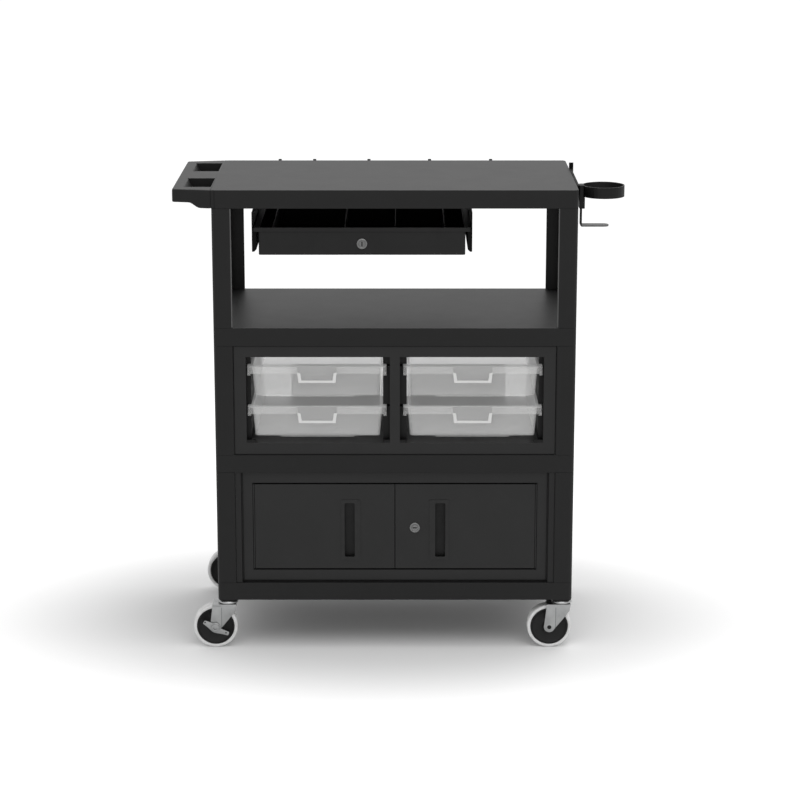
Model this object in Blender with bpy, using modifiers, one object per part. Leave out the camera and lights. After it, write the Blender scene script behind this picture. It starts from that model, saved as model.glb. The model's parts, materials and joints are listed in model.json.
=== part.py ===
# Rolling storage cart: four moulded shelves on angle legs, a push handle with two pockets,
# a hanging drawer, a four-tray cabinet, a lockable two-door cabinet, a cup holder on a side
# rail, a hook rail at the back and four swivel casters, two of them with a brake lever.
# Metres, +Z up. The front of the cart faces -Y. The pieces are drawn in the cart's own frame
# (X centred on the shelves, Y from the front face, Z from the floor), and one empty moves
# that frame so that the origin is on the floor under the centre of the whole cart.

import bmesh
import bpy
from math import acos, atan2, cos, hypot, pi, radians, sin
from mathutils import Matrix, Vector

# Fits shared by every piece
seat_gap = 0.0003
slide_gap = 0.0006
overrun = 0.002
overlap = 0.001
weld_distance = 0.00001

# Body
body_length = 0.813
body_depth = 0.457
corner_radius = 0.010
edge_round = 0.0022
wheel_to_shelf = 0.0154
lower_tier_clear = 0.2625
middle_tier_clear = 0.253
upper_tier_clear = 0.2705

# Shelf
shelf_height = 0.041
shelf_plate = 0.006
apron_wall = 0.005
rib_wall = 0.004
rib_columns = 8
rib_rows = 5

# Leg
leg_width = 0.0433
leg_wall = 0.009
leg_edge_radius = 0.003
leg_tongue = 0.024
tongue_trim = 0.0012

# Corner boss under the bottom shelf
boss_inset = 0.0015
boss_drop = 0.0025
boss_radius = 0.008

# Push handle
handle_length = 0.0872
handle_taper = 0.0175
handle_tip_height = 0.029
handle_flat = 0.0365
handle_curve = 0.027
handle_corner_radius = 0.006
handle_curve_steps = 6
pocket_width = 0.0595
pocket_length = 0.127
pocket_spacing = 0.234
pocket_wall = 0.0028
pocket_floor = 0.006
pocket_slope = 0.0095
pocket_lip = 0.003
lug_rows = (1, 3)
lug_width = 0.040
lug_height = 0.012
lug_length = 0.018

# Drawer under the top shelf
drawer_offset = -0.0728
drawer_width = 0.459
drawer_depth = 0.380
drawer_height = 0.061
drawer_drop = 0.043
drawer_setback = 0.002
drawer_wall = 0.0025
drawer_lip_reach = 0.011
drawer_lip_height = 0.009
drawer_corner = 0.006
divider_shares = (0.068, 0.417, 0.661, 0.900)
divider_wall = 0.002
grip_width = 0.102
grip_rise = 0.003

# Hangers that carry the drawer
hanger_clear = 0.002
hanger_wall = 0.0025
hanger_shoulder = 0.010
hanger_shoulder_height = 0.008
hanger_flange = 0.024
hanger_flange_thickness = 0.0025
hanger_body = 0.010
hanger_depth_below = 0.047
hanger_chamfer = 0.005
hanger_setback = 0.012

# Cam locks
bezel_radius = 0.012
bezel_height = 0.0025
barrel_radius = 0.0095
plug_radius = 0.0072
plug_recess = 0.0006
key_slot_width = 0.0016
key_slot_length = 0.0092
key_slot_depth = 0.003
cam_width = 0.014
cam_thickness = 0.002
cam_clearance = 0.001
drawer_cam_length = 0.020
door_cam_length = 0.054
drawer_lock_height = 0.025

# Tray cabinet in the middle tier
bin_recess = 0.004
bin_back_inset = 0.009
bay_side = 0.0277
bay_height = 0.1994
bay_floor = 0.0278
bay_divider = 0.0226
bin_skin = 0.0012
bin_face = 0.002
runner_outer = 0.0104
runner_inner = 0.0155
runner_clear = 0.0015
groove_play = 0.0024
foot_height = 0.0064
foot_depth = 0.012
foot_setback = 0.001
foot_wide = 0.0214
foot_narrow = 0.0142

# Trays
tray_slack = 0.0109
tray_shift = 0.0022
tray_depth = 0.427
tray_height = 0.0705
tray_setback = 0.003
tray_wall = 0.0022
tray_draft_side = 0.0052
tray_draft_end = 0.006
tray_rim_reach = 0.010
tray_rim_thickness = 0.0026
tray_band_height = 0.0165
tray_band_wall = 0.0024
tray_band_return = 0.016
tray_hook_reach = 0.007
tray_hook_drop = 0.004
tray_corner = 0.010
tray_top_clear = 0.0225
tray_pitch = 0.0935
scoop_top_width = 0.088
scoop_width = 0.080
scoop_depth = 0.0365
scoop_lip = 0.005
scoop_proud = 0.003
swell_top_width = 0.177
swell_bottom_width = 0.166
swell_proud = 0.002
swell_drop = 0.002

# Panel behind the trays
rear_panel_width = 0.522
rear_panel_offset = 0.008
rear_panel_thickness = 0.0015
rear_panel_margin = 0.004
rear_panel_height = 0.1035
rear_panel_bridge = 0.021
rear_panel_notch = 0.075

# Lockable cabinet in the lower tier
cabinet_recess = 0.010
cabinet_back_inset = 0.010
cabinet_wall = 0.0012
cabinet_face = 0.007
cabinet_flange = 0.0128
cabinet_flange_recess = 0.0025
reveal_width = 0.0042
reveal_depth = 0.0045
opening_half_width = 0.3245
opening_floor = 0.0285
opening_height = 0.2073
hinge_radius = 0.002
hinge_inset = 0.0015
hinge_play = 0.0005
door_gap = 0.0035
door_seam = 0.0008
door_thickness = 0.015
door_skin = 0.0015
door_rim = 0.0018

# Recessed pulls
pull_width = 0.044
pull_height = 0.143
pull_from_seam = 0.079
pull_drop = 0.0082
pull_proud = 0.001
pull_slot_width = 0.023
pull_slot_height = 0.128
pull_slot_shift = 0.0025
pull_depth = 0.012
pull_wall = 0.0018
pull_radius = 0.003

# Door lock and bolt
lock_from_seam = 0.0454
lock_drop = 0.0027
bolt_from_seam = 0.012
bolt_radius = 0.003
bolt_length = 0.060
bolt_throw = 0.012
bolt_play = 0.0004
bolt_guide_width = 0.017
bolt_guide_height = 0.008
bolt_guide_depth = 0.010
bolt_guide_spacing = 0.046
bolt_knob_radius = 0.003
bolt_knob_length = 0.007
bolt_knob_share = 0.45
bolt_start_gap = 0.0006

# Side rail and cup holder
rail_thickness = 0.006
rail_height = 0.018
rail_start = 0.073
rail_length = 0.262
rail_tab_width = 0.010
rail_tab_height = 0.0126
rail_tab_thickness = 0.003
holder_block_width = 0.0125
holder_block_depth = 0.028
holder_block_height = 0.053
ring_radius = 0.0476
ring_wall = 0.003
ring_height = 0.0247
ring_sink = 0.006
rest_thickness = 0.0034
rest_inset = 0.0030
rest_drop = 0.037
rest_reach = 0.0645
rest_bend_radius = 0.004
rest_tip_share = 0.45

# Hook rail at the back
hook_rail_length = 0.560
hook_rail_height = 0.018
hook_rail_thickness = 0.003
hook_shares = (0.0505, 0.198, 0.430, 0.689, 0.950)
hook_rail_offset = -0.0235
hook_width = 0.0075
hook_reach = 0.012
hook_thickness = 0.0025
hook_rise = 0.0012
hook_drop = 0.010

# Casters
wheel_radius = 0.0508
tyre_width = 0.030
tyre_depth = 0.0073
tyre_shoulder = 0.004
rim_radius = 0.0435
hub_width = 0.035
hub_radius = 0.015
web_width = 0.020
rim_width = 0.028
rim_wall = 0.006
web_root_share = 0.12
tyre_seat = 0.0002
caster_trail = 0.029
fork_inner = 0.038
fork_wall = 0.003
fork_top_height = 0.0546
fork_front_reach = 0.035
fork_back_reach = 0.0196
fork_back_waist = 0.017
fork_waist_height = 0.038
fork_end_radius = 0.0125
fork_plate = 0.0024
raceway_radius = 0.0232
raceway_slope_share = 0.8
raceway_height = 0.0095
raceway_edge = 0.003
raceway_neck = 0.0095
stem_radius = 0.0055
stem_length = 0.033
stem_play = 0.0002
king_radius = 0.0055
king_head_radius = 0.009
king_head_height = 0.003
axle_radius = 0.0068
axle_bore = 0.0050
axle_head_radius = 0.0085
axle_head_height = 0.0012
axle_head_proud = 0.00025
wheel_play = 0.0004

# Brake lever
brake_hub_radius = 0.0130
brake_thickness = 0.003
brake_arm = 0.0335
brake_tip_width = 0.0085
brake_root_width = 0.0185
brake_angle = 26
brake_neck_share = 0.55
brake_round_share = 0.6
brake_boss_radius = 0.0105
brake_boss_height = 0.0015

# Facets
round_steps = 24
small_steps = 16
tyre_steps = 28
ring_steps = 36
corner_steps = 4
fork_steps = 8

# Levels and places worked out from the sizes above
bottom_shelf_underside = 2 * wheel_radius + wheel_to_shelf
bottom_shelf_top = bottom_shelf_underside + shelf_height
lower_shelf_underside = bottom_shelf_top + lower_tier_clear
lower_shelf_top = lower_shelf_underside + shelf_height
upper_shelf_underside = lower_shelf_top + middle_tier_clear
upper_shelf_top = upper_shelf_underside + shelf_height
top_shelf_underside = upper_shelf_top + upper_tier_clear
worktop = top_shelf_underside + shelf_height
half_length = body_length / 2
leg_inner_x = half_length - leg_width
rib_pitch_x = (body_length - 2 * apron_wall + rib_wall) / rib_columns
rib_pitch_y = (body_depth - 2 * apron_wall + rib_wall) / rib_rows
stem_inset = leg_width / 2
boss_underside = bottom_shelf_underside - boss_drop
fork_top = wheel_radius + fork_top_height
fork_half = fork_inner / 2 + fork_wall
cabinet_half = leg_inner_x - seat_gap
bay_width = cabinet_half - bay_side - bay_divider / 2
bay_centre = (bay_width + bay_divider) / 2
bay_underside = lower_shelf_top + bay_floor
bay_top = bay_underside + bay_height
tray_width = bay_width - tray_slack
runner_setback = tray_setback + tray_band_return + runner_clear
cabinet_floor = bottom_shelf_top + seat_gap
opening_low = bottom_shelf_top + opening_floor
opening_high = opening_low + opening_height
opening_middle = (opening_low + opening_high) / 2
hinge_x = opening_half_width - hinge_play - hinge_radius
hinge_y = cabinet_recess + hinge_inset
door_height = opening_height - 2 * door_gap
drawer_top = top_shelf_underside - drawer_drop
drawer_bottom = drawer_top - drawer_height
rail_x = half_length + seat_gap
block_x = rail_x + rail_thickness + seat_gap
block_top = worktop - seat_gap
ring_x = block_x + holder_block_width - ring_sink + ring_radius
holder_y = rail_start + holder_block_depth / 2
brake_stack = seat_gap + brake_thickness + brake_boss_height + seat_gap + axle_head_height
left_reach = half_length + handle_length
right_reach = ring_x + ring_radius
front_reach = fork_half + brake_stack + axle_head_proud - stem_inset
back_reach = max(
    body_depth + seat_gap + hook_rail_thickness + hook_reach,
    body_depth - stem_inset + fork_half + brake_stack + axle_head_proud,
)
frame_shift = (
    (left_reach - right_reach) / 2,
    -(back_reach - front_reach) / 2,
    0,
)


def clear_scene():
    for old in list(bpy.data.objects):
        bpy.data.objects.remove(old, do_unlink=True)


def collection(name):
    made = bpy.data.collections.new(name)
    bpy.context.scene.collection.children.link(made)
    return made


def material(name, colour, roughness, metallic=0.0):
    made = bpy.data.materials.new(name)
    made.use_nodes = True
    shader = made.node_tree.nodes["Principled BSDF"]
    shader.inputs["Base Color"].default_value = (*colour, 1)
    shader.inputs["Roughness"].default_value = roughness
    shader.inputs["Metallic"].default_value = metallic
    made.diffuse_color = (*colour, 1)
    return made


clear_scene()
cart = collection("storage_cart")
cutters = collection("cutters")
charcoal = material("charcoal_plastic", (0.024, 0.025, 0.026), 0.55)
steel_paint = material("powder_coated_steel", (0.030, 0.031, 0.033), 0.45)
black_plastic = material("black_plastic", (0.006, 0.006, 0.007), 0.5)
clear_plastic = material("frosted_tray_plastic", (0.55, 0.56, 0.57), 0.35)
zinc = material("zinc_plate", (0.32, 0.34, 0.33), 0.38, 0.9)
chrome = material("nickel_plate", (0.55, 0.55, 0.55), 0.25, 1.0)
grey_rubber = material("grey_tyre_rubber", (0.52, 0.52, 0.52), 0.7)


def empty(name, location, parent=None):
    made = bpy.data.objects.new(name, None)
    made.location = location
    made.parent = parent
    made.empty_display_size = shelf_height
    cart.objects.link(made)
    return made


frame = empty("cart_frame", frame_shift)


def tool(name, mesh):
    # A helper shape: it is drawn as wire and left out of the finished cart.
    made = bpy.data.objects.new(name, mesh)
    made.hide_render = True
    made.display_type = "WIRE"
    cutters.objects.link(made)
    return made


def mesh_from(name, working):
    bmesh.ops.recalc_face_normals(working, faces=working.faces)
    made = bpy.data.meshes.new(name)
    working.to_mesh(made)
    working.free()
    return made


def blocks(name, bounds):
    # One mesh with a box for each pair of opposite corners.
    working = bmesh.new()
    for first, second in bounds:
        low = Vector(map(min, first, second))
        high = Vector(map(max, first, second))
        size = high - low
        place = Matrix.Translation((low + high) / 2) @ Matrix.Diagonal((*size, 1))
        bmesh.ops.create_cube(working, size=1, matrix=place)
    return tool(name, mesh_from(name, working))


def block(name, first, second):
    return blocks(name, [(first, second)])


def evaluated_mesh(obj):
    bpy.context.view_layer.update()
    graph = bpy.context.evaluated_depsgraph_get()
    return bpy.data.meshes.new_from_object(obj.evaluated_get(graph))


def welded(name, mesh, matrix=None):
    working = bmesh.new()
    working.from_mesh(mesh)
    bmesh.ops.remove_doubles(working, verts=working.verts, dist=weld_distance)
    if matrix is not None:
        bmesh.ops.transform(working, matrix=matrix, verts=working.verts)
    bpy.data.meshes.remove(mesh)
    return mesh_from(name, working)


plane_turn = {
    "Z": Matrix.Identity(4),
    "Y": Matrix(((1, 0, 0, 0), (0, 0, -1, 0), (0, 1, 0, 0), (0, 0, 0, 1))),
    "X": Matrix(((0, 0, 1, 0), (1, 0, 0, 0), (0, 1, 0, 0), (0, 0, 0, 1))),
}
plane_normal = {"Z": Vector((0, 0, 1)), "Y": Vector((0, 1, 0)), "X": Vector((1, 0, 0))}


def plate(name, outline, low, high, along="Z"):
    # A flat outline given as XY, XZ or YZ points, with its faces at low and high.
    curve = bpy.data.curves.new(name, "CURVE")
    curve.dimensions = "2D"
    curve.fill_mode = "BOTH"
    curve.extrude = (high - low) / 2
    spline = curve.splines.new("POLY")
    spline.points.add(len(outline) - 1)
    for point, (x, y) in zip(spline.points, outline):
        point.co = (x, y, 0, 1)
    spline.use_cyclic_u = True
    guide = tool(name + "_curve", curve)
    flat = evaluated_mesh(guide)
    bpy.data.objects.remove(guide)
    bpy.data.curves.remove(curve)
    shift = Matrix.Translation(plane_normal[along] * ((low + high) / 2))
    return tool(name, welded(name, flat, shift @ plane_turn[along]))


def rounded(corners, steps=corner_steps):
    # Corners are (x, y, radius); each one with a radius becomes an arc.
    outline = []
    count = len(corners)
    for index, (x, y, radius) in enumerate(corners):
        here = Vector((x, y))
        if not radius:
            outline.append((x, y))
            continue
        before = (Vector(corners[index - 1][:2]) - here).normalized()
        after = (Vector(corners[(index + 1) % count][:2]) - here).normalized()
        half = acos(max(-1, min(1, before.dot(after)))) / 2
        centre = here + (before + after).normalized() * (radius / sin(half))
        start = here + before * (radius * cos(half) / sin(half)) - centre
        end = here + after * (radius * cos(half) / sin(half)) - centre
        first = atan2(start.y, start.x)
        sweep = atan2(end.y, end.x) - first
        sweep = (sweep + pi) % (2 * pi) - pi
        for step in range(steps + 1):
            angle = first + sweep * step / steps
            outline.append((centre.x + radius * cos(angle), centre.y + radius * sin(angle)))
    return outline


def rectangle(x0, x1, y0, y1, radius=0.0, steps=corner_steps):
    corners = [(x0, y0, radius), (x1, y0, radius), (x1, y1, radius), (x0, y1, radius)]
    return rounded(corners, steps)


def turned(name, profile, steps, closed=False, along="Z", half_step=False):
    # The profile is (radius, height) from the top of the outer side down.
    mesh = bpy.data.meshes.new(name)
    edges = [(index, index + 1) for index in range(len(profile) - 1)]
    if closed:
        edges.append((len(profile) - 1, 0))
    mesh.from_pydata([(radius, 0, height) for radius, height in profile], edges, [])
    guide = tool(name + "_profile", mesh)
    screw = guide.modifiers.new("screw", "SCREW")
    screw.steps = steps
    screw.render_steps = steps
    screw.use_merge_vertices = True
    screw.merge_threshold = weld_distance
    solid = evaluated_mesh(guide)
    bpy.data.objects.remove(guide)
    bpy.data.meshes.remove(mesh)
    turn = Matrix.Rotation(pi / steps if half_step else 0, 4, "Z")
    return tool(name, welded(name, solid, plane_turn[along] @ turn))


def rod(name, radius, low, high, steps, along="Z", centre=(0, 0)):
    working = bmesh.new()
    place = Matrix.Translation((*centre, (low + high) / 2))
    bmesh.ops.create_cone(
        working,
        cap_ends=True,
        segments=steps,
        radius1=radius,
        radius2=radius,
        depth=high - low,
        matrix=place,
    )
    flip = Matrix.Identity(4)
    if along == "Y":
        # Local heights run along +Y here, and the centre is given as X and Z.
        flip = Matrix.Diagonal((1, -1, 1, 1))
    bmesh.ops.transform(working, matrix=flip @ plane_turn[along], verts=working.verts)
    return tool(name, mesh_from(name, working))


def soften(obj, width, segments=2, angle=50):
    bevel = obj.modifiers.new("soft_edges", "BEVEL")
    bevel.width = width
    bevel.segments = segments
    bevel.limit_method = "ANGLE"
    bevel.angle_limit = radians(angle)
    return obj


def combine(obj, other, operation):
    boolean = obj.modifiers.new(operation.lower(), "BOOLEAN")
    boolean.operation = operation
    boolean.solver = "EXACT"
    boolean.object = other
    other.parent = obj
    return obj


def cut(obj, *others):
    for other in others:
        combine(obj, other, "DIFFERENCE")
    return obj


def join(obj, *others):
    for other in others:
        combine(obj, other, "UNION")
    return obj


def drop_tools(obj):
    for child in list(obj.children):
        drop_tools(child)
        bpy.data.objects.remove(child, do_unlink=True)


def finished_mesh(obj, name, sharp=35):
    # The shape with all its cuts and joins made, as one mesh.
    shape = welded(name, evaluated_mesh(obj))
    drop_tools(obj)
    bpy.data.objects.remove(obj, do_unlink=True)
    shape.shade_smooth()
    shape.set_sharp_from_angle(angle=radians(sharp))
    return shape


def part(name, mesh, look, location=(0, 0, 0), turn=0, parent=frame):
    made = bpy.data.objects.new(name, mesh)
    if not mesh.materials:
        mesh.materials.append(look)
    made.location = location
    made.rotation_euler = (0, 0, turn)
    made.parent = parent
    cart.objects.link(made)
    return made


def single(name, obj, look, location=(0, 0, 0), parent=frame):
    return part(name, finished_mesh(obj, name), look, location, parent=parent)


# Shelves


def rib_pocket_bounds(underside, top):
    low = underside - overrun
    high = top - shelf_plate
    bounds = []
    for column in range(rib_columns):
        x0 = -half_length + apron_wall + column * rib_pitch_x
        for row in range(rib_rows):
            y0 = apron_wall + row * rib_pitch_y
            x1 = x0 + rib_pitch_x - rib_wall
            y1 = y0 + rib_pitch_y - rib_wall
            bounds.append(((x0, y0, low), (x1, y1, high)))
    return bounds


def shelf_blank(name, underside):
    top = underside + shelf_height
    outline = rectangle(-half_length, half_length, 0, body_depth, corner_radius)
    blank = soften(plate(name, outline, underside, top), edge_round)
    return cut(blank, blocks(name + "_rib_pockets", rib_pocket_bounds(underside, top)))


def lug_centres():
    return [apron_wall + rib_pitch_y * row + (rib_pitch_y - rib_wall) / 2 for row in lug_rows]


def lug_bounds(grow):
    middle = worktop - shelf_plate - (shelf_height - shelf_plate) / 2
    bounds = []
    for centre in lug_centres():
        low = (-half_length - overrun, centre - lug_width / 2 - grow, middle - lug_height / 2 - grow)
        high = (
            -half_length + lug_length + grow,
            centre + lug_width / 2 + grow,
            middle + lug_height / 2 + grow,
        )
        bounds.append((low, high))
    return bounds


def caster_places():
    front = stem_inset
    back = body_depth - stem_inset
    side = half_length - stem_inset
    return {
        "front_left": (-side, front),
        "front_right": (side, front),
        "rear_left": (-side, back),
        "rear_right": (side, back),
    }


def make_shelves():
    for name, underside in (
        ("lower_shelf", lower_shelf_underside),
        ("upper_shelf", upper_shelf_underside),
    ):
        single(name, shelf_blank(name, underside), charcoal)

    top = shelf_blank("top_shelf", top_shelf_underside)
    cut(top, blocks("handle_slots", lug_bounds(seat_gap)))
    single("top_shelf", top, charcoal)

    bottom = shelf_blank("bottom_shelf", bottom_shelf_underside)
    high = bottom_shelf_top - shelf_plate + overlap
    near = boss_inset
    far = leg_width
    for corner, (x, y) in caster_places().items():
        side = 1 if x > 0 else -1
        x0, x1 = sorted((side * (half_length - near), side * (half_length - far)))
        y0, y1 = (near, far) if y < body_depth / 2 else (body_depth - far, body_depth - near)
        outline = rectangle(x0, x1, y0, y1, boss_radius)
        join(bottom, plate(corner + "_boss", outline, boss_underside, high))
        depth = boss_underside + stem_length + seat_gap
        socket = rod(
            corner + "_socket",
            stem_radius + stem_play,
            boss_underside - overrun,
            depth,
            small_steps,
            centre=(x, y),
        )
        cut(bottom, socket)
    single("bottom_shelf", bottom, charcoal)


# Legs


def leg_mesh(name, clear_height):
    w = leg_width
    t = leg_wall
    r = leg_edge_radius
    outline = rounded(
        [
            (0, 0, corner_radius),
            (w, 0, r),
            (w, t, r),
            (t, t, r),
            (t, w, r),
            (0, w, r),
        ],
        steps=3,
    )
    leg = plate(name, outline, seat_gap, clear_height - seat_gap)
    a = apron_wall + seat_gap
    b = t - tongue_trim
    end = w - tongue_trim
    tongue = [(a, a), (end, a), (end, b), (b, b), (b, end), (a, end)]
    join(leg, plate(name + "_tongue", tongue, clear_height / 2, clear_height + leg_tongue))
    return finished_mesh(leg, name)


def make_legs():
    tiers = (
        ("lower", bottom_shelf_top, lower_tier_clear),
        ("middle", lower_shelf_top, middle_tier_clear),
        ("upper", upper_shelf_top, upper_tier_clear),
    )
    corners = (
        ("front_left", -half_length, 0, 0),
        ("front_right", half_length, 0, pi / 2),
        ("rear_right", half_length, body_depth, pi),
        ("rear_left", -half_length, body_depth, -pi / 2),
    )
    for tier, floor, clear_height in tiers:
        mesh = leg_mesh(tier + "_leg", clear_height)
        for corner, x, y, turn in corners:
            part(f"{corner}_{tier}_leg", mesh, charcoal, (x, y, floor), turn)


# Push handle


def handle_underside():
    # An S curve that falls from the thin tip to the full apron height.
    points = []
    fall = shelf_height - handle_tip_height
    for step in range(handle_curve_steps + 1):
        share = step / handle_curve_steps
        x = handle_flat + handle_curve * share
        drop = fall * (1 - cos(pi * share)) / 2
        points.append((-handle_length + x, -handle_tip_height - drop))
    return points


def pocket_profile():
    # Upright on the shelf side. The grip side slopes, and rolls over into the top face.
    right = -half_length - pocket_wall
    left = right - pocket_width
    floor = worktop - handle_tip_height + pocket_floor
    return [
        (right, worktop + overrun),
        (right, floor),
        (left + pocket_slope, floor),
        (left + pocket_lip / 2, worktop - 2 * pocket_lip),
        (left - pocket_lip / 4, worktop - pocket_lip / 2),
        (left - pocket_lip, worktop),
        (left - pocket_lip, worktop + overrun),
    ]


def make_handle():
    inner = -seat_gap
    profile = [(inner, 0), (-handle_length, 0), (-handle_length, -handle_tip_height)]
    profile += handle_underside() + [(inner, -shelf_height)]
    profile = [(x - half_length, z + worktop) for x, z in profile]
    handle = plate("push_handle", profile, -overrun, body_depth + overrun, "Y")
    tip = -half_length - handle_length
    plan = rounded(
        [
            (-half_length + overrun, 0, 0),
            (-half_length + overrun, body_depth, 0),
            (tip, body_depth - handle_taper, handle_corner_radius),
            (tip, handle_taper, handle_corner_radius),
        ]
    )
    footprint = plate("handle_plan", plan, top_shelf_underside - overrun, worktop + overrun)
    combine(handle, footprint, "INTERSECT")
    soften(handle, edge_round)
    for index, side in enumerate((-1, 1)):
        centre = body_depth / 2 + side * pocket_spacing / 2
        low = centre - pocket_length / 2
        high = centre + pocket_length / 2
        cut(handle, plate(f"handle_pocket_{index}", pocket_profile(), low, high, "Y"))
    join(handle, blocks("handle_lugs", lug_bounds(0)))
    single("push_handle", handle, charcoal)


# Cam locks. Local heights run towards the front (-Y) from the face they are fitted in.


def lock_barrel_mesh(name, length):
    inner = plug_radius + seat_gap
    profile = [
        (bezel_radius - edge_round / 2, bezel_height),
        (bezel_radius, bezel_height / 2),
        (bezel_radius, seat_gap),
        (barrel_radius, seat_gap),
        (barrel_radius, -length),
        (inner, -length),
        (inner, bezel_height),
    ]
    barrel = turned(name, profile, round_steps, closed=True, along="Y")
    return finished_mesh(barrel, name)


def lock_plug_mesh(name, length, cam_length, slot_upright):
    front = -(bezel_height - plug_recess)
    back = length + cam_clearance + cam_thickness
    plug = rod(name, plug_radius, front, back, round_steps, "Y")
    # The cam hangs straight down at rest, clear of the keeper beside it.
    outline = rounded(
        [
            (-cam_width / 2, cam_width / 2, cam_width / 3),
            (cam_width / 2, cam_width / 2, cam_width / 3),
            (cam_width / 2, -cam_length, cam_width / 3),
            (-cam_width / 2, -cam_length, cam_width / 3),
        ]
    )
    join(plug, plate(name + "_cam", outline, back - cam_thickness, back + overlap, "Y"))
    half = key_slot_length / 2
    thin = key_slot_width / 2
    wide, tall = (thin, half) if slot_upright else (half, thin)
    cut(
        plug,
        block(
            name + "_key_slot",
            (-wide, front - overrun, -tall),
            (wide, front + key_slot_depth, tall),
        ),
    )
    return finished_mesh(plug, name)


# Drawer


def drawer_mesh():
    half = drawer_width / 2
    outer = rectangle(-half, half, 0, drawer_depth, drawer_corner, steps=3)
    tub = soften(plate("drawer", outer, -drawer_height, 0), edge_round)
    lip_half = half + drawer_lip_reach
    lip = rectangle(-lip_half, lip_half, -drawer_setback / 2, drawer_depth, drawer_corner, steps=3)
    join(tub, plate("drawer_lip", lip, -drawer_lip_height, -overlap / 4))
    inner_left = -half + drawer_wall
    inner_right = half - drawer_wall
    edges = [inner_left] + [-half + share * drawer_width for share in divider_shares] + [inner_right]
    bounds = []
    for index in range(len(edges) - 1):
        x0 = edges[index] + (divider_wall / 2 if index else 0)
        x1 = edges[index + 1] - (divider_wall / 2 if index < len(divider_shares) else 0)
        low = (x0, drawer_wall, -drawer_height + drawer_wall)
        high = (x1, drawer_depth - drawer_wall, overrun)
        bounds.append((low, high))
    cut(tub, blocks("drawer_compartments", bounds))
    grip = block(
        "drawer_grip",
        (-grip_width / 2, -overrun, -drawer_height - overrun),
        (grip_width / 2, drawer_wall / 2, -drawer_height + grip_rise),
    )
    hole = rod(
        "drawer_lock_hole",
        barrel_radius + seat_gap,
        -overrun,
        drawer_wall + overrun,
        round_steps,
        "Y",
        (0, drawer_lock_height - drawer_height),
    )
    return finished_mesh(cut(tub, grip, hole), "drawer")


def hanger_mesh(name, side):
    outer = drawer_width / 2 + drawer_lip_reach + hanger_clear + hanger_wall
    top = drawer_drop - seat_gap
    ledge = -drawer_lip_height - slide_gap
    shoulder = top - hanger_flange_thickness - hanger_shoulder_height
    inner = outer - hanger_wall
    neck = outer - hanger_shoulder
    points = [
        (neck - hanger_wall, top),
        (neck, top - hanger_flange_thickness),
        (outer, shoulder),
        (outer, -hanger_depth_below - drawer_lip_height),
        (outer - hanger_body + hanger_chamfer, -hanger_depth_below - drawer_lip_height),
        (outer - hanger_body, -hanger_depth_below - drawer_lip_height + hanger_chamfer),
        (outer - hanger_body, ledge),
        (inner, ledge),
        (inner, shoulder - hanger_wall / 2),
        (neck - hanger_wall, top - hanger_flange_thickness),
        (neck - hanger_flange, top - hanger_flange_thickness),
        (neck - hanger_flange, top),
    ]
    outline = [(side * x, z) for x, z in points]
    hanger = plate(name, outline, hanger_setback, drawer_depth, "Y")
    return finished_mesh(hanger, name)


def make_drawer():
    base = empty("drawer_guide", (drawer_offset, drawer_setback, drawer_top), frame)
    for name, side in (("left_hanger", -1), ("right_hanger", 1)):
        part(name, hanger_mesh(name, side), black_plastic, parent=base)
    part("drawer", drawer_mesh(), charcoal, parent=base)
    place = (0, 0, drawer_lock_height - drawer_height)
    barrel = lock_barrel_mesh("drawer_lock_barrel", drawer_wall + bezel_height)
    part("drawer_lock_barrel", barrel, chrome, place, parent=base)
    plug = lock_plug_mesh("drawer_lock_plug", drawer_wall + bezel_height, drawer_cam_length, True)
    part("drawer_lock_plug", plug, chrome, place, parent=base)


# Tray cabinet


def bay_spans():
    # Each bay is wide at its mouth and in the grooves, and narrow between the runner walls.
    spans = []
    for side in (-1, 1):
        near = side * bay_divider / 2
        far = side * (bay_divider / 2 + bay_width)
        spans.append((near, far, near + side * runner_inner, far - side * runner_outer))
    return spans


def tray_rim_levels():
    upper = bay_top - tray_top_clear
    return (upper, upper - tray_pitch)


def groove_levels():
    return [(rim - tray_rim_thickness - slide_gap, rim + groove_play) for rim in tray_rim_levels()]


def box_between(x0, x1, y0, y1, z0, z1):
    return ((min(x0, x1), y0, z0), (max(x0, x1), y1, z1))


def bay_cutters(front, back):
    mouths = []
    rooms = []
    grooves = []
    for near, far, inner, outer in bay_spans():
        mouths.append(
            box_between(near, far, front - overrun, front + runner_setback, bay_underside, bay_top)
        )
        rooms.append(box_between(inner, outer, front, back + overrun, bay_underside, bay_top))
        for low, high in groove_levels():
            grooves.append(box_between(near, far, front, back + overrun, low, high))
    return blocks("bay_mouths", mouths), blocks("bay_rooms", rooms), blocks("rim_grooves", grooves)


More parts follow.
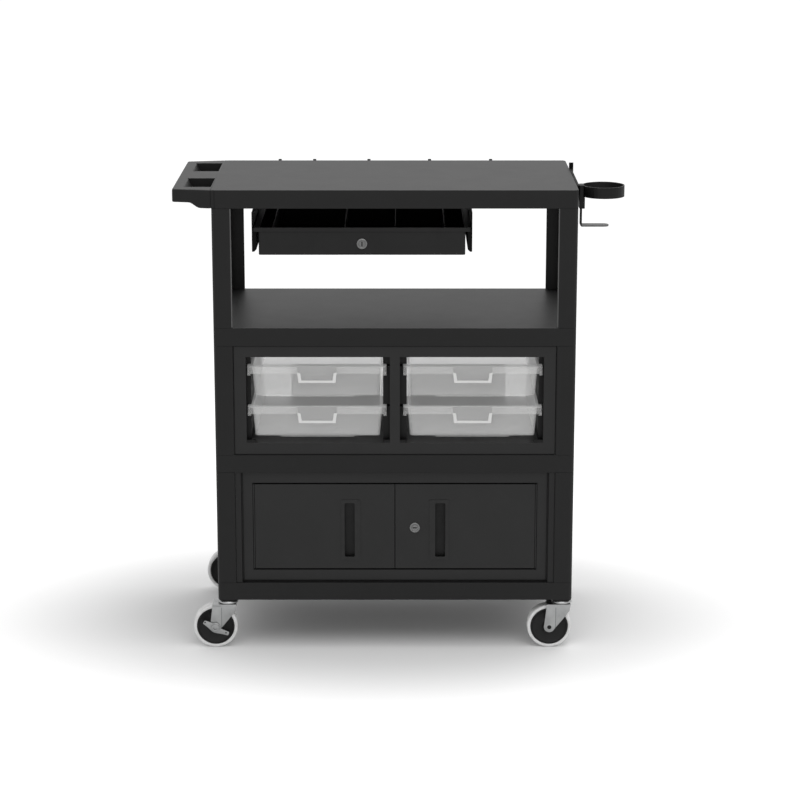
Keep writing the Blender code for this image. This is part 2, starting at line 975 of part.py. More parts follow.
def hollow_cutters(front, back):
    # The walls are hollow and open at the back: columns beside the bays, flats above and
    # below them, and a pocket in each runner wall between its grooves.
    low = lower_shelf_top + seat_gap + bin_skin
    high = upper_shelf_underside - seat_gap - bin_skin
    deep = (front + bin_face, back + overrun)
    inner_column = bay_divider / 2 - bin_skin
    columns = [box_between(-inner_column, inner_column, *deep, low, high)]
    flats = []
    pockets = []
    (upper_low, upper_high), (lower_low, lower_high) = groove_levels()
    levels = (
        (low, lower_low - bin_skin),
        (lower_high + bin_skin, upper_low - bin_skin),
        (upper_high + bin_skin, high),
    )
    y0 = front + runner_setback + bin_skin
    for side, (near, far, inner, outer) in zip((-1, 1), bay_spans()):
        edge = far + side * bin_skin
        columns.append(box_between(edge, side * (cabinet_half - bin_skin), *deep, low, high))
        flats.append(box_between(near, far, *deep, low, bay_underside - bin_skin))
        flats.append(box_between(near, far, *deep, bay_top + bin_skin, high))
        for z0, z1 in levels:
            far_edge = edge + side * overlap
            pockets.append(box_between(far_edge, outer + side * bin_skin, y0, deep[1], z0, z1))
            near_edge = side * (inner_column - overlap)
            pockets.append(box_between(near_edge, inner - side * bin_skin, y0, deep[1], z0, z1))
    return blocks("columns", columns), blocks("flats", flats), blocks("runner_pockets", pockets)


def foot_bounds(front):
    bounds = []
    y0 = front + foot_setback
    z0 = bay_underside - overlap
    z1 = bay_underside + foot_height
    for side, (near, far, inner, outer) in zip((-1, 1), bay_spans()):
        narrow = (near - side * overlap, near + side * foot_narrow)
        wide = (far + side * overlap, far - side * foot_wide)
        for edge, foot in (narrow, wide):
            bounds.append(box_between(edge, foot, y0, y0 + foot_depth, z0, z1))
    return bounds


def make_bin_cabinet():
    front = bin_recess
    back = body_depth - bin_back_inset
    case = block(
        "bin_cabinet",
        (-cabinet_half, front, lower_shelf_top + seat_gap),
        (cabinet_half, back, upper_shelf_underside - seat_gap),
    )
    soften(case, edge_round / 2, 1)
    cut(case, *bay_cutters(front, back))
    cut(case, *hollow_cutters(front, back))
    join(case, blocks("runner_feet", foot_bounds(front)))
    single("bin_cabinet", case, steel_paint)

    # The back stays open above this panel, and in the notch behind the divider.
    x0 = rear_panel_offset - rear_panel_width / 2
    x1 = x0 + rear_panel_width
    z0 = lower_shelf_top + seat_gap + rear_panel_margin
    z1 = z0 + rear_panel_height
    bridge = z0 + rear_panel_bridge
    notch = rear_panel_notch / 2
    outline = [(x0, z0), (x1, z0), (x1, z1), (notch, z1), (notch, bridge)]
    outline += [(-notch, bridge), (-notch, z1), (x0, z1)]
    y0 = back + seat_gap
    panel = plate("rear_panel", outline, y0, y0 + rear_panel_thickness, "Y")
    single("rear_panel", panel, steel_paint)


# Trays. Local origin: the middle of the front edge, level with the top of the rim.


def tray_cavity(name, inset, top, bottom):
    # A box that narrows towards its floor, with rounded upright corners.
    half = tray_width / 2 - tray_rim_reach - inset
    near = tray_rim_reach + inset
    far = tray_depth - tray_rim_reach - inset
    working = bmesh.new()
    size = Vector((2 * half, far - near, top - bottom))
    middle = Vector((0, (near + far) / 2, (top + bottom) / 2))
    bmesh.ops.create_cube(
        working, size=1, matrix=Matrix.Translation(middle) @ Matrix.Diagonal((*size, 1))
    )
    for vert in working.verts:
        if vert.co.z < middle.z:
            vert.co.x -= tray_draft_side * (1 if vert.co.x > 0 else -1)
            vert.co.y -= tray_draft_end * (1 if vert.co.y > middle.y else -1)
    upright = [
        edge for edge in working.edges if abs(edge.verts[0].co.z - edge.verts[1].co.z) > size.z / 2
    ]
    bmesh.ops.bevel(
        working, geom=upright, offset=tray_corner - inset, segments=4, affect="EDGES", profile=0.5
    )
    return tool(name, mesh_from(name, working))


def wall_front(z):
    # Where the sloping front wall stands at a height below the rim.
    return tray_rim_reach + tray_draft_end * min(1, -z / tray_height)


def tray_mesh():
    body = tray_cavity("tray", 0, -tray_rim_thickness / 2, -tray_height)
    half = tray_width / 2
    edge = rectangle(-half, half, 0, tray_depth, tray_corner / 2)
    join(body, plate("tray_rim", edge, -tray_rim_thickness, 0))
    # The front band, turned down and hooked back at its two ends
    band = rounded(
        [
            (-half, 0, tray_corner / 2),
            (half, 0, tray_corner / 2),
            (half, tray_band_return, 0),
            (half - tray_band_wall, tray_band_return, 0),
            (half - tray_band_wall, tray_band_wall, tray_corner / 3),
            (-half + tray_band_wall, tray_band_wall, tray_corner / 3),
            (-half + tray_band_wall, tray_band_return, 0),
            (-half, tray_band_return, 0),
        ],
        steps=3,
    )
    join(body, plate("tray_band", band, -tray_band_height, -overlap))
    hooks = []
    for side in (-1, 1):
        low = (side * half, overlap, -tray_band_height - tray_hook_drop)
        high = (side * (half - tray_hook_reach), tray_band_wall, -tray_band_height + overlap)
        hooks.append((low, high))
    join(body, blocks("tray_hooks", hooks))
    # The swelling in the middle of the front wall
    top = -tray_band_height / 2
    low = -tray_height - swell_drop
    swell = [
        (-swell_top_width / 2, top),
        (swell_top_width / 2, top),
        (swell_bottom_width / 2, low),
        (-swell_bottom_width / 2, low),
    ]
    front = wall_front(low) - swell_proud
    join(body, plate("tray_swell", swell, front, front + tray_wall + 2 * swell_proud, "Y"))
    # The scoop plate that dips below the band, with a raised lip round it
    wide = scoop_top_width / 2
    slim = scoop_width / 2
    outer = [(-wide, 0), (-wide, -tray_band_height), (-slim, -scoop_depth), (slim, -scoop_depth)]
    outer += [(wide, -tray_band_height), (wide, 0)]
    outer = [(x, z - overlap) for x, z in outer]
    join(body, plate("scoop_plate", outer, 0, wall_front(-scoop_depth) + tray_wall, "Y"))
    step = -tray_band_height + tray_band_wall
    inner = [
        (-wide - overlap, overrun),
        (-wide - overlap, step),
        (-wide + scoop_lip, step - overlap),
        (-slim + scoop_lip, -scoop_depth + scoop_lip),
        (slim - scoop_lip, -scoop_depth + scoop_lip),
        (wide - scoop_lip, step - overlap),
        (wide + overlap, step),
        (wide + overlap, overrun),
    ]
    cut(body, plate("scoop_recess", inner, -overrun, scoop_proud, "Y"))
    cut(body, tray_cavity("tray_inside", tray_wall, overrun, -tray_height + tray_wall))
    return finished_mesh(body, "tray")


def make_trays():
    mesh = tray_mesh()
    for side, side_name in ((-1, "left"), (1, "right")):
        for rim, level in zip(tray_rim_levels(), ("upper", "lower")):
            place = (side * (bay_centre + tray_shift), bin_recess + tray_setback, rim)
            part(f"{level}_{side_name}_tray", mesh, clear_plastic, place)


# Lockable cabinet


def make_cabinet():
    front = cabinet_recess
    back = body_depth - cabinet_back_inset
    top = lower_shelf_underside - seat_gap
    case = block(
        "cabinet_body", (-cabinet_half, front, cabinet_floor), (cabinet_half, back, top)
    )
    inside = block(
        "cabinet_inside",
        (-cabinet_half + cabinet_wall, front + cabinet_face, cabinet_floor + cabinet_wall),
        (cabinet_half - cabinet_wall, back - cabinet_wall, top - cabinet_wall),
    )
    doorway = block(
        "doorway",
        (-opening_half_width, front - overrun, opening_low),
        (opening_half_width, front + cabinet_face + overrun, opening_high),
    )
    edge = cabinet_half - cabinet_flange
    grooves = []
    for side in (-1, 1):
        low = (side * edge, front - overrun, cabinet_floor - overrun)
        high = (side * (edge - reveal_width), front + reveal_depth, top + overrun)
        grooves.append((low, high))
    sill = block(
        "sill_reveal",
        (-edge + reveal_width / 2, front - overrun, cabinet_floor - overrun),
        (edge - reveal_width / 2, front + reveal_depth, cabinet_floor + reveal_width),
    )
    keeper = rod(
        "bolt_keeper",
        bolt_radius + bolt_play,
        opening_high - overrun,
        opening_high + bolt_throw + overrun,
        small_steps,
        centre=(-bolt_from_seam, bolt_axis_y()),
    )
    stop_rail = block(
        "keeper_rail",
        (-opening_half_width, front + overlap, opening_high),
        (opening_half_width, bolt_axis_y() + bolt_guide_depth / 2, opening_high + bolt_throw + overrun),
    )
    flanges = []
    deep = (cabinet_flange_recess, front + overlap)
    for side in (-1, 1):
        flanges.append(box_between(side * edge, side * cabinet_half, *deep, cabinet_floor, top))
    cut(case, inside, doorway, blocks("side_reveals", grooves), sill)
    join(case, stop_rail)
    join(case, blocks("side_flanges", flanges))
    cut(case, keeper)
    single("cabinet_body", case, steel_paint)
    for name, side in (("left_hinge_pin", -1), ("right_hinge_pin", 1)):
        pin = rod(name, hinge_radius, opening_low + seat_gap, opening_high - seat_gap, small_steps)
        single(name, pin, steel_paint, (side * hinge_x, hinge_y, 0))


def bolt_axis_y():
    return cabinet_recess + door_thickness + seat_gap + bolt_guide_depth / 2


def door_mesh(name, side):
    # side is -1 for the left door, whose hinge is at its left edge.
    toward = -side
    face = -hinge_inset
    edge = toward * (hinge_radius + hinge_play)
    seam = toward * (hinge_x - door_seam)
    half = door_height / 2
    door = block(name, (edge, face, -half), (seam, face + door_thickness, half))
    rim = toward * door_rim
    hollow = block(
        name + "_hollow",
        (edge + rim, face + door_skin, -half + door_rim),
        (seam - rim, face + door_thickness + overrun, half - door_rim),
    )
    cut(door, hollow)
    pull_x = toward * (hinge_x - pull_from_seam - pull_width / 2)
    hole_x = pull_width / 2 - pull_wall
    hole_z = pull_height / 2 - pull_wall
    hole = block(
        name + "_pull_hole",
        (pull_x - hole_x, face - overrun, -pull_drop - hole_z),
        (pull_x + hole_x, face + door_skin + overrun, -pull_drop + hole_z),
    )
    cut(door, hole)
    if side > 0:
        lock_x = toward * (hinge_x - lock_from_seam)
        lock_hole = rod(
            name + "_lock_hole",
            barrel_radius + seat_gap,
            face - overrun,
            face + door_skin + overrun,
            round_steps,
            "Y",
            (lock_x, -lock_drop),
        )
        cut(door, lock_hole)
    else:
        add_bolt_guides(door, face + door_thickness, seam, half)
    return finished_mesh(door, name)


def add_bolt_guides(door, back, seam, half):
    # Two blocks behind the left door, at its top corner, that hold the slide bolt.
    bounds = []
    for top in (half, half - bolt_guide_spacing):
        low = (seam - bolt_guide_width, back - overlap, top - bolt_guide_height)
        high = (seam, back + seat_gap + bolt_guide_depth, top)
        bounds.append((low, high))
    join(door, blocks("bolt_guides", bounds))
    bore = rod(
        "bolt_guide_bore",
        bolt_radius + bolt_play,
        half - bolt_guide_spacing - bolt_guide_height - overrun,
        half + overrun,
        small_steps,
        centre=(seam + door_seam - bolt_from_seam, bolt_axis_y() - hinge_y),
    )
    cut(door, bore)


def pull_mesh(name, side):
    # A flanged pocket pressed into the door. The finger slot sits nearer the hinge.
    half_x = pull_width / 2
    half_z = pull_height / 2
    flange = rectangle(-half_x, half_x, -half_z, half_z, pull_radius)
    pull = plate(name, flange, -pull_proud - seat_gap, -seat_gap, "Y")
    box_x = half_x - pull_wall - seat_gap
    box_z = half_z - pull_wall - seat_gap
    pocket = rectangle(-box_x, box_x, -box_z, box_z, pull_radius)
    join(pull, plate(name + "_pocket", pocket, -seat_gap - pull_proud / 2, pull_depth + pull_wall, "Y"))
    shift = side * pull_slot_shift
    slot_x = pull_slot_width / 2
    slot_z = pull_slot_height / 2
    slot = rectangle(shift - slot_x, shift + slot_x, -slot_z, slot_z, pull_radius)
    cut(pull, plate(name + "_slot", slot, -pull_proud - overrun, pull_depth, "Y"))
    return finished_mesh(pull, name)


def make_doors():
    for word, side in (("left", -1), ("right", 1)):
        hinge = empty(word + "_door_hinge", (side * hinge_x, hinge_y, opening_middle), frame)
        name = word + "_door"
        part(name, door_mesh(name, side), steel_paint, parent=hinge)
        pull_x = -side * (hinge_x - pull_from_seam - pull_width / 2)
        name = word + "_pull"
        pull_place = (pull_x, -hinge_inset, -pull_drop)
        part(name, pull_mesh(name, side), black_plastic, pull_place, parent=hinge)
        if side > 0:
            lock_place = (-(hinge_x - lock_from_seam), -hinge_inset, -lock_drop)
            length = door_thickness
            barrel = lock_barrel_mesh("cabinet_lock_barrel", length)
            part("cabinet_lock_barrel", barrel, chrome, lock_place, parent=hinge)
            plug = lock_plug_mesh("cabinet_lock_plug", length, door_cam_length, False)
            part("cabinet_lock_plug", plug, chrome, lock_place, parent=hinge)


def make_bolt():
    # A slide bolt on the back of the left door, drawn back at rest.
    hinge = bpy.data.objects["left_door_hinge"]
    top = opening_high - opening_middle - bolt_start_gap
    place = (hinge_x - bolt_from_seam, bolt_axis_y() - hinge_y, 0)
    bolt = rod("left_door_bolt", bolt_radius, top - bolt_length, top, small_steps)
    knob_z = top - bolt_length * bolt_knob_share
    knob = rod(
        "bolt_knob", bolt_knob_radius, 0, bolt_radius + bolt_knob_length, small_steps, "Y", (0, knob_z)
    )
    single("left_door_bolt", join(bolt, knob), zinc, place, parent=hinge)


# Side rail and cup holder


def make_side_rail():
    top = worktop - seat_gap
    end = rail_start + rail_length
    rail = block(
        "side_rail",
        (rail_x, rail_start, top - rail_height),
        (rail_x + rail_thickness, end, top),
    )
    soften(rail, edge_round / 2, 1)
    tab = block(
        "rail_tab",
        (rail_x, end - rail_tab_thickness, top - rail_height / 2),
        (rail_x + rail_tab_width, end + overlap, worktop + rail_tab_height),
    )
    single("side_rail", join(rail, tab), steel_paint)


def make_cup_holder():
    y0 = rail_start
    y1 = rail_start + holder_block_depth
    low = block_top - holder_block_height
    carrier = block(
        "cup_holder", (block_x, y0, low), (block_x + holder_block_width, y1, block_top)
    )
    soften(carrier, edge_round / 2, 1)
    ring = turned(
        "cup_ring",
        [
            (ring_radius, 0),
            (ring_radius, -ring_height),
            (ring_radius - ring_wall, -ring_height),
            (ring_radius - ring_wall, 0),
        ],
        ring_steps,
        closed=True,
    )
    ring.data.transform(Matrix.Translation((ring_x, holder_y, block_top - overlap)))
    join(carrier, ring)
    bore = rod(
        "cup_bore",
        ring_radius - ring_wall,
        block_top - ring_height - 2 * overrun,
        block_top + overrun,
        ring_steps,
        centre=(ring_x, holder_y),
    )
    single("cup_holder", cut(carrier, bore), black_plastic)

    x0 = block_x + rest_inset
    x1 = x0 + rest_thickness
    floor = low - seat_gap - rest_drop
    top = low - seat_gap
    tip = x0 + rest_reach
    t = rest_thickness
    r = rest_bend_radius
    outline = rounded(
        [
            (x0, floor - t, r),
            (tip, floor - t, 0),
            (tip, floor, 0),
            (x1, floor, r / 2),
            (x1, top, 0),
            (x0, top, 0),
        ]
    )
    rest = plate("cup_rest", outline, y0, y1, "Y")
    plan = rounded(
        [
            (x0 - overrun, y0, 0),
            (tip, y0, holder_block_depth * rest_tip_share),
            (tip, y1, holder_block_depth * rest_tip_share),
            (x0 - overrun, y1, 0),
        ]
    )
    combine(rest, plate("rest_plan", plan, floor - t - overrun, top + overrun), "INTERSECT")
    single("cup_rest", rest, steel_paint)


# Hook rail at the back


def make_hook_rail():
    x0 = hook_rail_offset - hook_rail_length / 2
    y0 = body_depth + seat_gap
    y1 = y0 + hook_rail_thickness
    top = worktop - edge_round - seat_gap
    rail = block("hook_rail", (x0, y0, top - hook_rail_height), (x0 + hook_rail_length, y1, top))
    t = hook_thickness
    reach = y1 + hook_reach
    rise = worktop + hook_rise
    floor = top - hook_rail_height / 2
    for index, share in enumerate(hook_shares):
        centre = x0 + share * hook_rail_length
        side = [
            (y1 - overlap, floor - t),
            (reach, floor - t),
            (reach, rise),
            (reach - t, rise),
            (reach - t, floor),
            (y1 - overlap, floor),
        ]
        hook = plate(
            f"hook_{index}", side, centre - hook_width / 2, centre + hook_width / 2, "X"
        )
        join(rail, hook)
    single("hook_rail", rail, steel_paint)


# Casters. Local origin: on the swivel axis, at floor level. The wheel trails towards -X.


def stem_mesh():
    race_base = fork_top + seat_gap
    shoulder = race_base + raceway_edge
    neck_top = min(boss_underside - seat_gap, race_base + raceway_height)
    stem_top = boss_underside + stem_length
    hole_bottom = fork_top - fork_plate
    profile = [
        (0, stem_top),
        (stem_radius - edge_round / 2, stem_top),
        (stem_radius, stem_top - edge_round),
        (stem_radius, neck_top),
        (raceway_neck, neck_top),
        (raceway_radius * raceway_slope_share, (neck_top + shoulder) / 2),
        (raceway_radius, shoulder),
        (raceway_radius, race_base),
        (king_radius, race_base),
        (king_radius, hole_bottom - seat_gap),
        (king_head_radius, hole_bottom - seat_gap),
        (king_head_radius, hole_bottom - seat_gap - king_head_height),
        (0, hole_bottom - seat_gap - king_head_height),
    ]
    return finished_mesh(turned("caster_stem", profile, round_steps), "caster_stem")


def fork_leg_outline():
    # Nearly upright at the front, sloping in from the back, round at the axle.
    cx = -caster_trail
    cz = wheel_radius
    r = fork_end_radius
    top = fork_top - fork_plate / 2
    waist = (fork_back_waist, cz + fork_waist_height)
    away = Vector((waist[0] - cx, waist[1] - cz))
    end_angle = atan2(away.y, away.x) - acos(r / away.length)
    points = [(fork_back_reach, top), waist]
    steps = fork_steps
    start_angle = -pi
    sweep = end_angle - start_angle
    for step in range(steps + 1):
        angle = end_angle - sweep * step / steps
        points.append((cx + r * cos(angle), cz + r * sin(angle)))
    points.append((-fork_front_reach, top))
    return points


def fork_mesh(name, brake_side):
    # brake_side is -1 or 1 for a lever on the front or back cheek, and 0 for none.
    top_plate = rounded(
        [
            (-fork_front_reach, -fork_half, fork_wall),
            (fork_back_reach, -fork_half, fork_wall),
            (fork_back_reach, fork_half, fork_wall),
            (-fork_front_reach, fork_half, fork_wall),
        ]
    )
    fork = plate(name, top_plate, fork_top - fork_plate, fork_top)
    for side in (-1, 1):
        y0, y1 = sorted((side * fork_inner / 2, side * fork_half))
        join(fork, plate(f"{name}_leg_{side}", fork_leg_outline(), y0, y1, "Y"))
    reach = {side: fork_half + axle_head_height for side in (-1, 1)}
    if brake_side:
        reach[brake_side] = fork_half + brake_stack
    at_axle = (-caster_trail, wheel_radius)
    join(fork, rod(name + "_axle", axle_radius, -reach[-1], reach[1], small_steps, "Y", at_axle))
    for side in (-1, 1):
        y0, y1 = sorted((side * (reach[side] - axle_head_height), side * (reach[side] + axle_head_proud)))
        join(fork, rod(f"{name}_head_{side}", axle_head_radius, y0, y1, small_steps, "Y", at_axle))
    bore_end = max(reach.values()) + overrun
    cut(fork, rod(name + "_bore", axle_bore, -bore_end, bore_end, small_steps, "Y", at_axle))
    cut(fork, rod(name + "_king_hole", king_radius + seat_gap, 0, fork_top + overrun, round_steps))
    return finished_mesh(fork, name)


def wheel_core_mesh():
    r0 = axle_radius + wheel_play
    web = hub_radius + (rim_radius - hub_radius) * web_root_share
    inner_rim = rim_radius - rim_wall
    profile = [
        (rim_radius, rim_width / 2),
        (rim_radius, -rim_width / 2),
        (inner_rim, -rim_width / 2),
        (inner_rim - overlap, -web_width / 2),
        (web, -web_width / 2),
        (hub_radius, -hub_width / 2),
        (r0, -hub_width / 2),
        (r0, hub_width / 2),
        (hub_radius, hub_width / 2),
        (web, web_width / 2),
        (inner_rim - overlap, web_width / 2),
        (inner_rim, rim_width / 2),
    ]
    core = turned("wheel_core", profile, tyre_steps, True, "Y", half_step=True)
    return finished_mesh(core, "wheel_core")


def tyre_mesh():
    # The flats touch the true radius, so the wheel stands on a flat at rest.
    grow = 1 / cos(pi / tyre_steps)
    outer = wheel_radius * grow
    shoulder = (wheel_radius - tyre_shoulder / 2) * grow
    inner = rim_radius + tyre_seat * 2
    side = wheel_radius - tyre_depth
    profile = [
        (shoulder, tyre_width / 2),
        (outer, tyre_width / 2 - tyre_shoulder),
        (outer, -tyre_width / 2 + tyre_shoulder),
        (shoulder, -tyre_width / 2),
        (max(side, inner), -tyre_width / 2),
        (inner, -rim_width / 2),
        (inner, rim_width / 2),
        (max(side, inner), tyre_width / 2),
    ]
    if side <= inner:
        del profile[4]
        del profile[-1]
    tyre = turned("tyre", profile, tyre_steps, True, "Y", half_step=True)
    return finished_mesh(tyre, "tyre")


def brake_mesh(name, side):
    # A rocker with two arms, pressed down at one end or the other.
    tilt = radians(brake_angle)
    tip = brake_tip_width / 2
    root = brake_root_width / 2
    near = brake_hub_radius * brake_neck_share
    outline = rounded(
        [
            (-brake_arm, -tip, tip * brake_round_share),
            (-near, -root, root),
            (near, -root, root),
            (brake_arm, -tip, tip * brake_round_share),
            (brake_arm, tip, tip * brake_round_share),
            (near, root, root * brake_round_share),
            (-near, root, root * brake_round_share),
            (-brake_arm, tip, tip * brake_round_share),
        ],
        steps=3,
    )
    turned_outline = [
        (x * cos(tilt) + z * sin(tilt), -x * sin(tilt) + z * cos(tilt)) for x, z in outline
    ]
    inner = fork_half + seat_gap
    outer = inner + brake_thickness
    y0, y1 = sorted((side * inner, side * outer))
    lever = plate(name, turned_outline, y0, y1, "Y")
    join(lever, rod(name + "_hub", brake_hub_radius, y0, y1, round_steps, "Y"))
    y0, y1 = sorted((side * (outer - overlap), side * (outer + brake_boss_height)))
    join(lever, rod(name + "_boss", brake_boss_radius, y0, y1, round_steps, "Y"))
    y0, y1 = sorted((side * (inner - overrun), side * (outer + overrun)))
    cut(lever, rod(name + "_bore", axle_radius + seat_gap, y0, y1, small_steps, "Y"))
    return finished_mesh(lever, name)


def make_casters():
    stem = stem_mesh()
    core = wheel_core_mesh()
    tyre = tyre_mesh()
    plain_fork = fork_mesh("caster_fork", 0)
    braked = {"front_left": -1, "rear_left": 1}
    for corner, (x, y) in caster_places().items():
        swivel = empty(corner + "_swivel", (x, y, 0), frame)
        part(corner + "_caster_stem", stem, zinc, parent=swivel)
        side = braked.get(corner, 0)
        fork = fork_mesh(corner + "_braked_fork", side) if side else plain_fork
        part(corner + "_fork", fork, zinc, parent=swivel)
        axle = empty(corner + "_axle", (-caster_trail, 0, wheel_radius), swivel)
        part(corner + "_wheel_core", core, black_plastic, parent=axle)
        part(corner + "_tyre", tyre, grey_rubber, parent=axle)
        if side:
            name = corner + "_brake_lever"
            part(name, brake_mesh(name, side), zinc, parent=axle)


make_shelves()
make_legs()
make_handle()
make_drawer()
make_bin_cabinet()
make_trays()
make_cabinet()
make_doors()
make_bolt()
make_side_rail()
make_cup_holder()
make_hook_rail()
make_casters()
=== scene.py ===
import json
import math

import bmesh
import bpy
from mathutils import Matrix, Vector


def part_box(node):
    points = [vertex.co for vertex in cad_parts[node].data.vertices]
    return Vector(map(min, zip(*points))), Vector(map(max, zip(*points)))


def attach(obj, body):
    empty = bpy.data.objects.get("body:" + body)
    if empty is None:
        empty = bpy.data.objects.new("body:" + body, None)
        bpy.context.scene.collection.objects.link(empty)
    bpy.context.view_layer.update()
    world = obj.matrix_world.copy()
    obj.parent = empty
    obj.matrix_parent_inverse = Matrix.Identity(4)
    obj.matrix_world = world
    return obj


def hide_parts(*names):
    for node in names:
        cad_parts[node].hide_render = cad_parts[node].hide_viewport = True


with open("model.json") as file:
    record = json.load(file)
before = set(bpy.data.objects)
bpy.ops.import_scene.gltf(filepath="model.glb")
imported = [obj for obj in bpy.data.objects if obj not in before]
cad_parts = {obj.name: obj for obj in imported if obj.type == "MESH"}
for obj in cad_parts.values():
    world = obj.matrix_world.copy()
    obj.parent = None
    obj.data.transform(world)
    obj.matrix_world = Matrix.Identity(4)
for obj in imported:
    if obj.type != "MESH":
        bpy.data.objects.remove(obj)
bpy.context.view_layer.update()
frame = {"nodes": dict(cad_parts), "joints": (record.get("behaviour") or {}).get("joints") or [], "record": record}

nodes = frame["nodes"]
scene = bpy.context.scene
mm = 0.001


# Small helpers for colour, nodes and the frame


def linear(hexText):
    # sRGB hex to the linear colour that shaders take
    channels = []
    for start in (0, 2, 4):
        value = int(hexText[start:start + 2], 16) / 255
        channels.append(value / 12.92 if value <= 0.04045 else ((value + 0.055) / 1.055) ** 2.4)
    return (*channels, 1)


def addNode(tree, kind, settings=None, links=None):
    # one node, with its values and what feeds it
    node = tree.nodes.new(kind)
    for key, value in (settings or {}).items():
        if isinstance(key, int) or key in node.inputs:
            node.inputs[key].default_value = value
        else:
            setattr(node, key, value)
    for key, socket in (links or {}).items():
        tree.links.new(socket, node.inputs[key])
    return node


def newMaterial(name):
    material = bpy.data.materials.new(name)
    material.use_nodes = True
    material.node_tree.nodes.clear()
    return material, material.node_tree


def jointSpot(name):
    # a point on the axis of a joint, in metres
    return next(joint["pos_m"] for joint in frame["joints"] if joint["name"] == name)


# Materials

noiseSpan = (0.3, 0.7)  # what a noise keeps to nearly everywhere


def makeMaterial(name, look, zones=()):
    # A noise clouds the colour and the shine, a finer one is the grain that the light catches,
    # and zones take another shade. A pattern's Scale is 1000 over its size in millimetres. All
    # grains but the orange peel are finer than the render can show, so they are drawn coarser
    material, tree = newMaterial(name)
    coords = addNode(tree, "ShaderNodeTexCoord").outputs["Object"]
    cloud = addNode(tree, "ShaderNodeTexNoise", look["cloud"], {"Vector": coords}).outputs["Fac"]
    low, high = look["cloudFrom"]
    span = {"From Min": low, "From Max": high, "To Max": look.get("cloudReach", 1)}
    tone = addNode(tree, "ShaderNodeMapRange", span, {"Value": cloud}).outputs["Result"]
    first, second = [linear(shade) for shade in look["colours"]]
    pair = {"data_type": "RGBA", 6: first, 7: second}
    colour = addNode(tree, "ShaderNodeMix", pair, {0: tone}).outputs[2]
    for zone in zones:
        colour = shadeWithin(tree, coords, colour, zone)
    low, high = look["roughness"]
    span = {"From Min": noiseSpan[0], "From Max": noiseSpan[1], "To Min": low, "To Max": high}
    rough = addNode(tree, "ShaderNodeMapRange", span, {"Value": cloud}).outputs["Result"]
    feeds = {"Base Color": colour, "Roughness": rough}
    if "grain" in look:
        grain = addNode(tree, "ShaderNodeTexNoise", look["grain"], {"Vector": coords})
        under = {"Height": grain.outputs["Fac"]}
        if "softEdge" in look:
            edge = addNode(tree, "ShaderNodeBevel", {"samples": 4, "Radius": look["softEdge"] * mm})
            under["Normal"] = edge.outputs["Normal"]
        height, strength = look["grainHeight"]
        bump = {"Distance": height * mm, "Strength": strength}
        feeds["Normal"] = addNode(tree, "ShaderNodeBump", bump, under).outputs["Normal"]
    if "cover" in look:
        # a see-through wall hides more where it is seen edge on
        facing = addNode(tree, "ShaderNodeLayerWeight", {"Blend": 0.5}).outputs["Facing"]
        low, high = look["cover"]
        span = {"From Min": look["coverFrom"], "To Min": low, "To Max": high}
        feeds["Alpha"] = addNode(tree, "ShaderNodeMapRange", span, {"Value": facing}).outputs["Result"]
    shader = addNode(tree, "ShaderNodeBsdfPrincipled", look["shader"], feeds)
    addNode(tree, "ShaderNodeOutputMaterial", {}, {"Surface": shader.outputs["BSDF"]})
    return material


def shadeWithin(tree, coords, colour, zone):
    # another shade between two corners of the part, coming in softly over some millimetres
    low, high, soft, shade = zone
    axes = addNode(tree, "ShaderNodeSeparateXYZ", {}, {"Vector": coords}).outputs
    sides = []
    for axis in range(3):
        width = soft[axis] * mm
        rise = {"From Min": low[axis], "From Max": low[axis] + width}
        drop = {"From Min": high[axis] - width, "From Max": high[axis], "To Min": 1, "To Max": 0}
        for ramp in (rise, drop):
            side = addNode(tree, "ShaderNodeMapRange", ramp, {"Value": axes[axis]})
            sides.append(side.outputs["Result"])
    within = sides[0]
    for side in sides[1:]:
        within = addNode(tree, "ShaderNodeMath", {"operation": "MULTIPLY"}, {0: within, 1: side}).outputs[0]
    shaded = {"data_type": "RGBA", 7: linear(shade)}
    return addNode(tree, "ShaderNodeMix", shaded, {0: within, 6: colour}).outputs[2]


# Injection moulded structural foam polyethylene: a matt, finely pebbled skin with a faint
# swirl from the blowing agent, and a soft sheen that lifts where it is seen edge on
structuralFoam = {
    "colours": ("191919", "1b1b1b"),
    "cloud": {"Scale": 1000 / 70, "Detail": 5, "Roughness": 0.62, "Distortion": 0.8},
    "cloudFrom": (0.35, 0.7),
    "grain": {"Scale": 1000 / 1.6, "Detail": 3, "Roughness": 0.6},
    "grainHeight": (0.15, 0.35),
    "roughness": (0.45, 0.47),
    "softEdge": 0.8,
    "shader": {"IOR": 1.5, "Specular IOR Level": 0.2},
}

# Structural foam of the drawer: the same skin in a paler charcoal, with hardly any sheen
drawerFoam = {
    **structuralFoam,
    "colours": ("292929", "2b2b2b"),
    "shader": {"IOR": 1.5, "Specular IOR Level": 0.03},
}

# Powder coat on sheet steel: charcoal satin with a fine orange peel. Inside a box it is
# darkened with painted shade, given by zones
powderCoat = {
    "colours": ("1f1f1f", "222222"),
    "cloud": {"Scale": 1000 / 111, "Detail": 4, "Roughness": 0.6},
    "cloudFrom": (0.35, 0.65),
    "grain": {"Scale": 1000 / 2.2, "Detail": 2},
    "grainHeight": (0.1, 0.3),
    "roughness": (0.42, 0.5),
    "softEdge": 0.8,
    "shader": {"IOR": 1.5, "Specular IOR Level": 0.25},
}

# Moulded black plastic: near black, spark-eroded texture with a dull shine
mouldedBlack = {
    "cloud": {"Scale": 1000 / 25, "Detail": 3},
    "cloudFrom": (0.35, 0.65),
    "cloudReach": 0.15,
    "grain": {"Scale": 1000 / 0.9, "Detail": 2},
    "grainHeight": (0.06, 0.3),
}

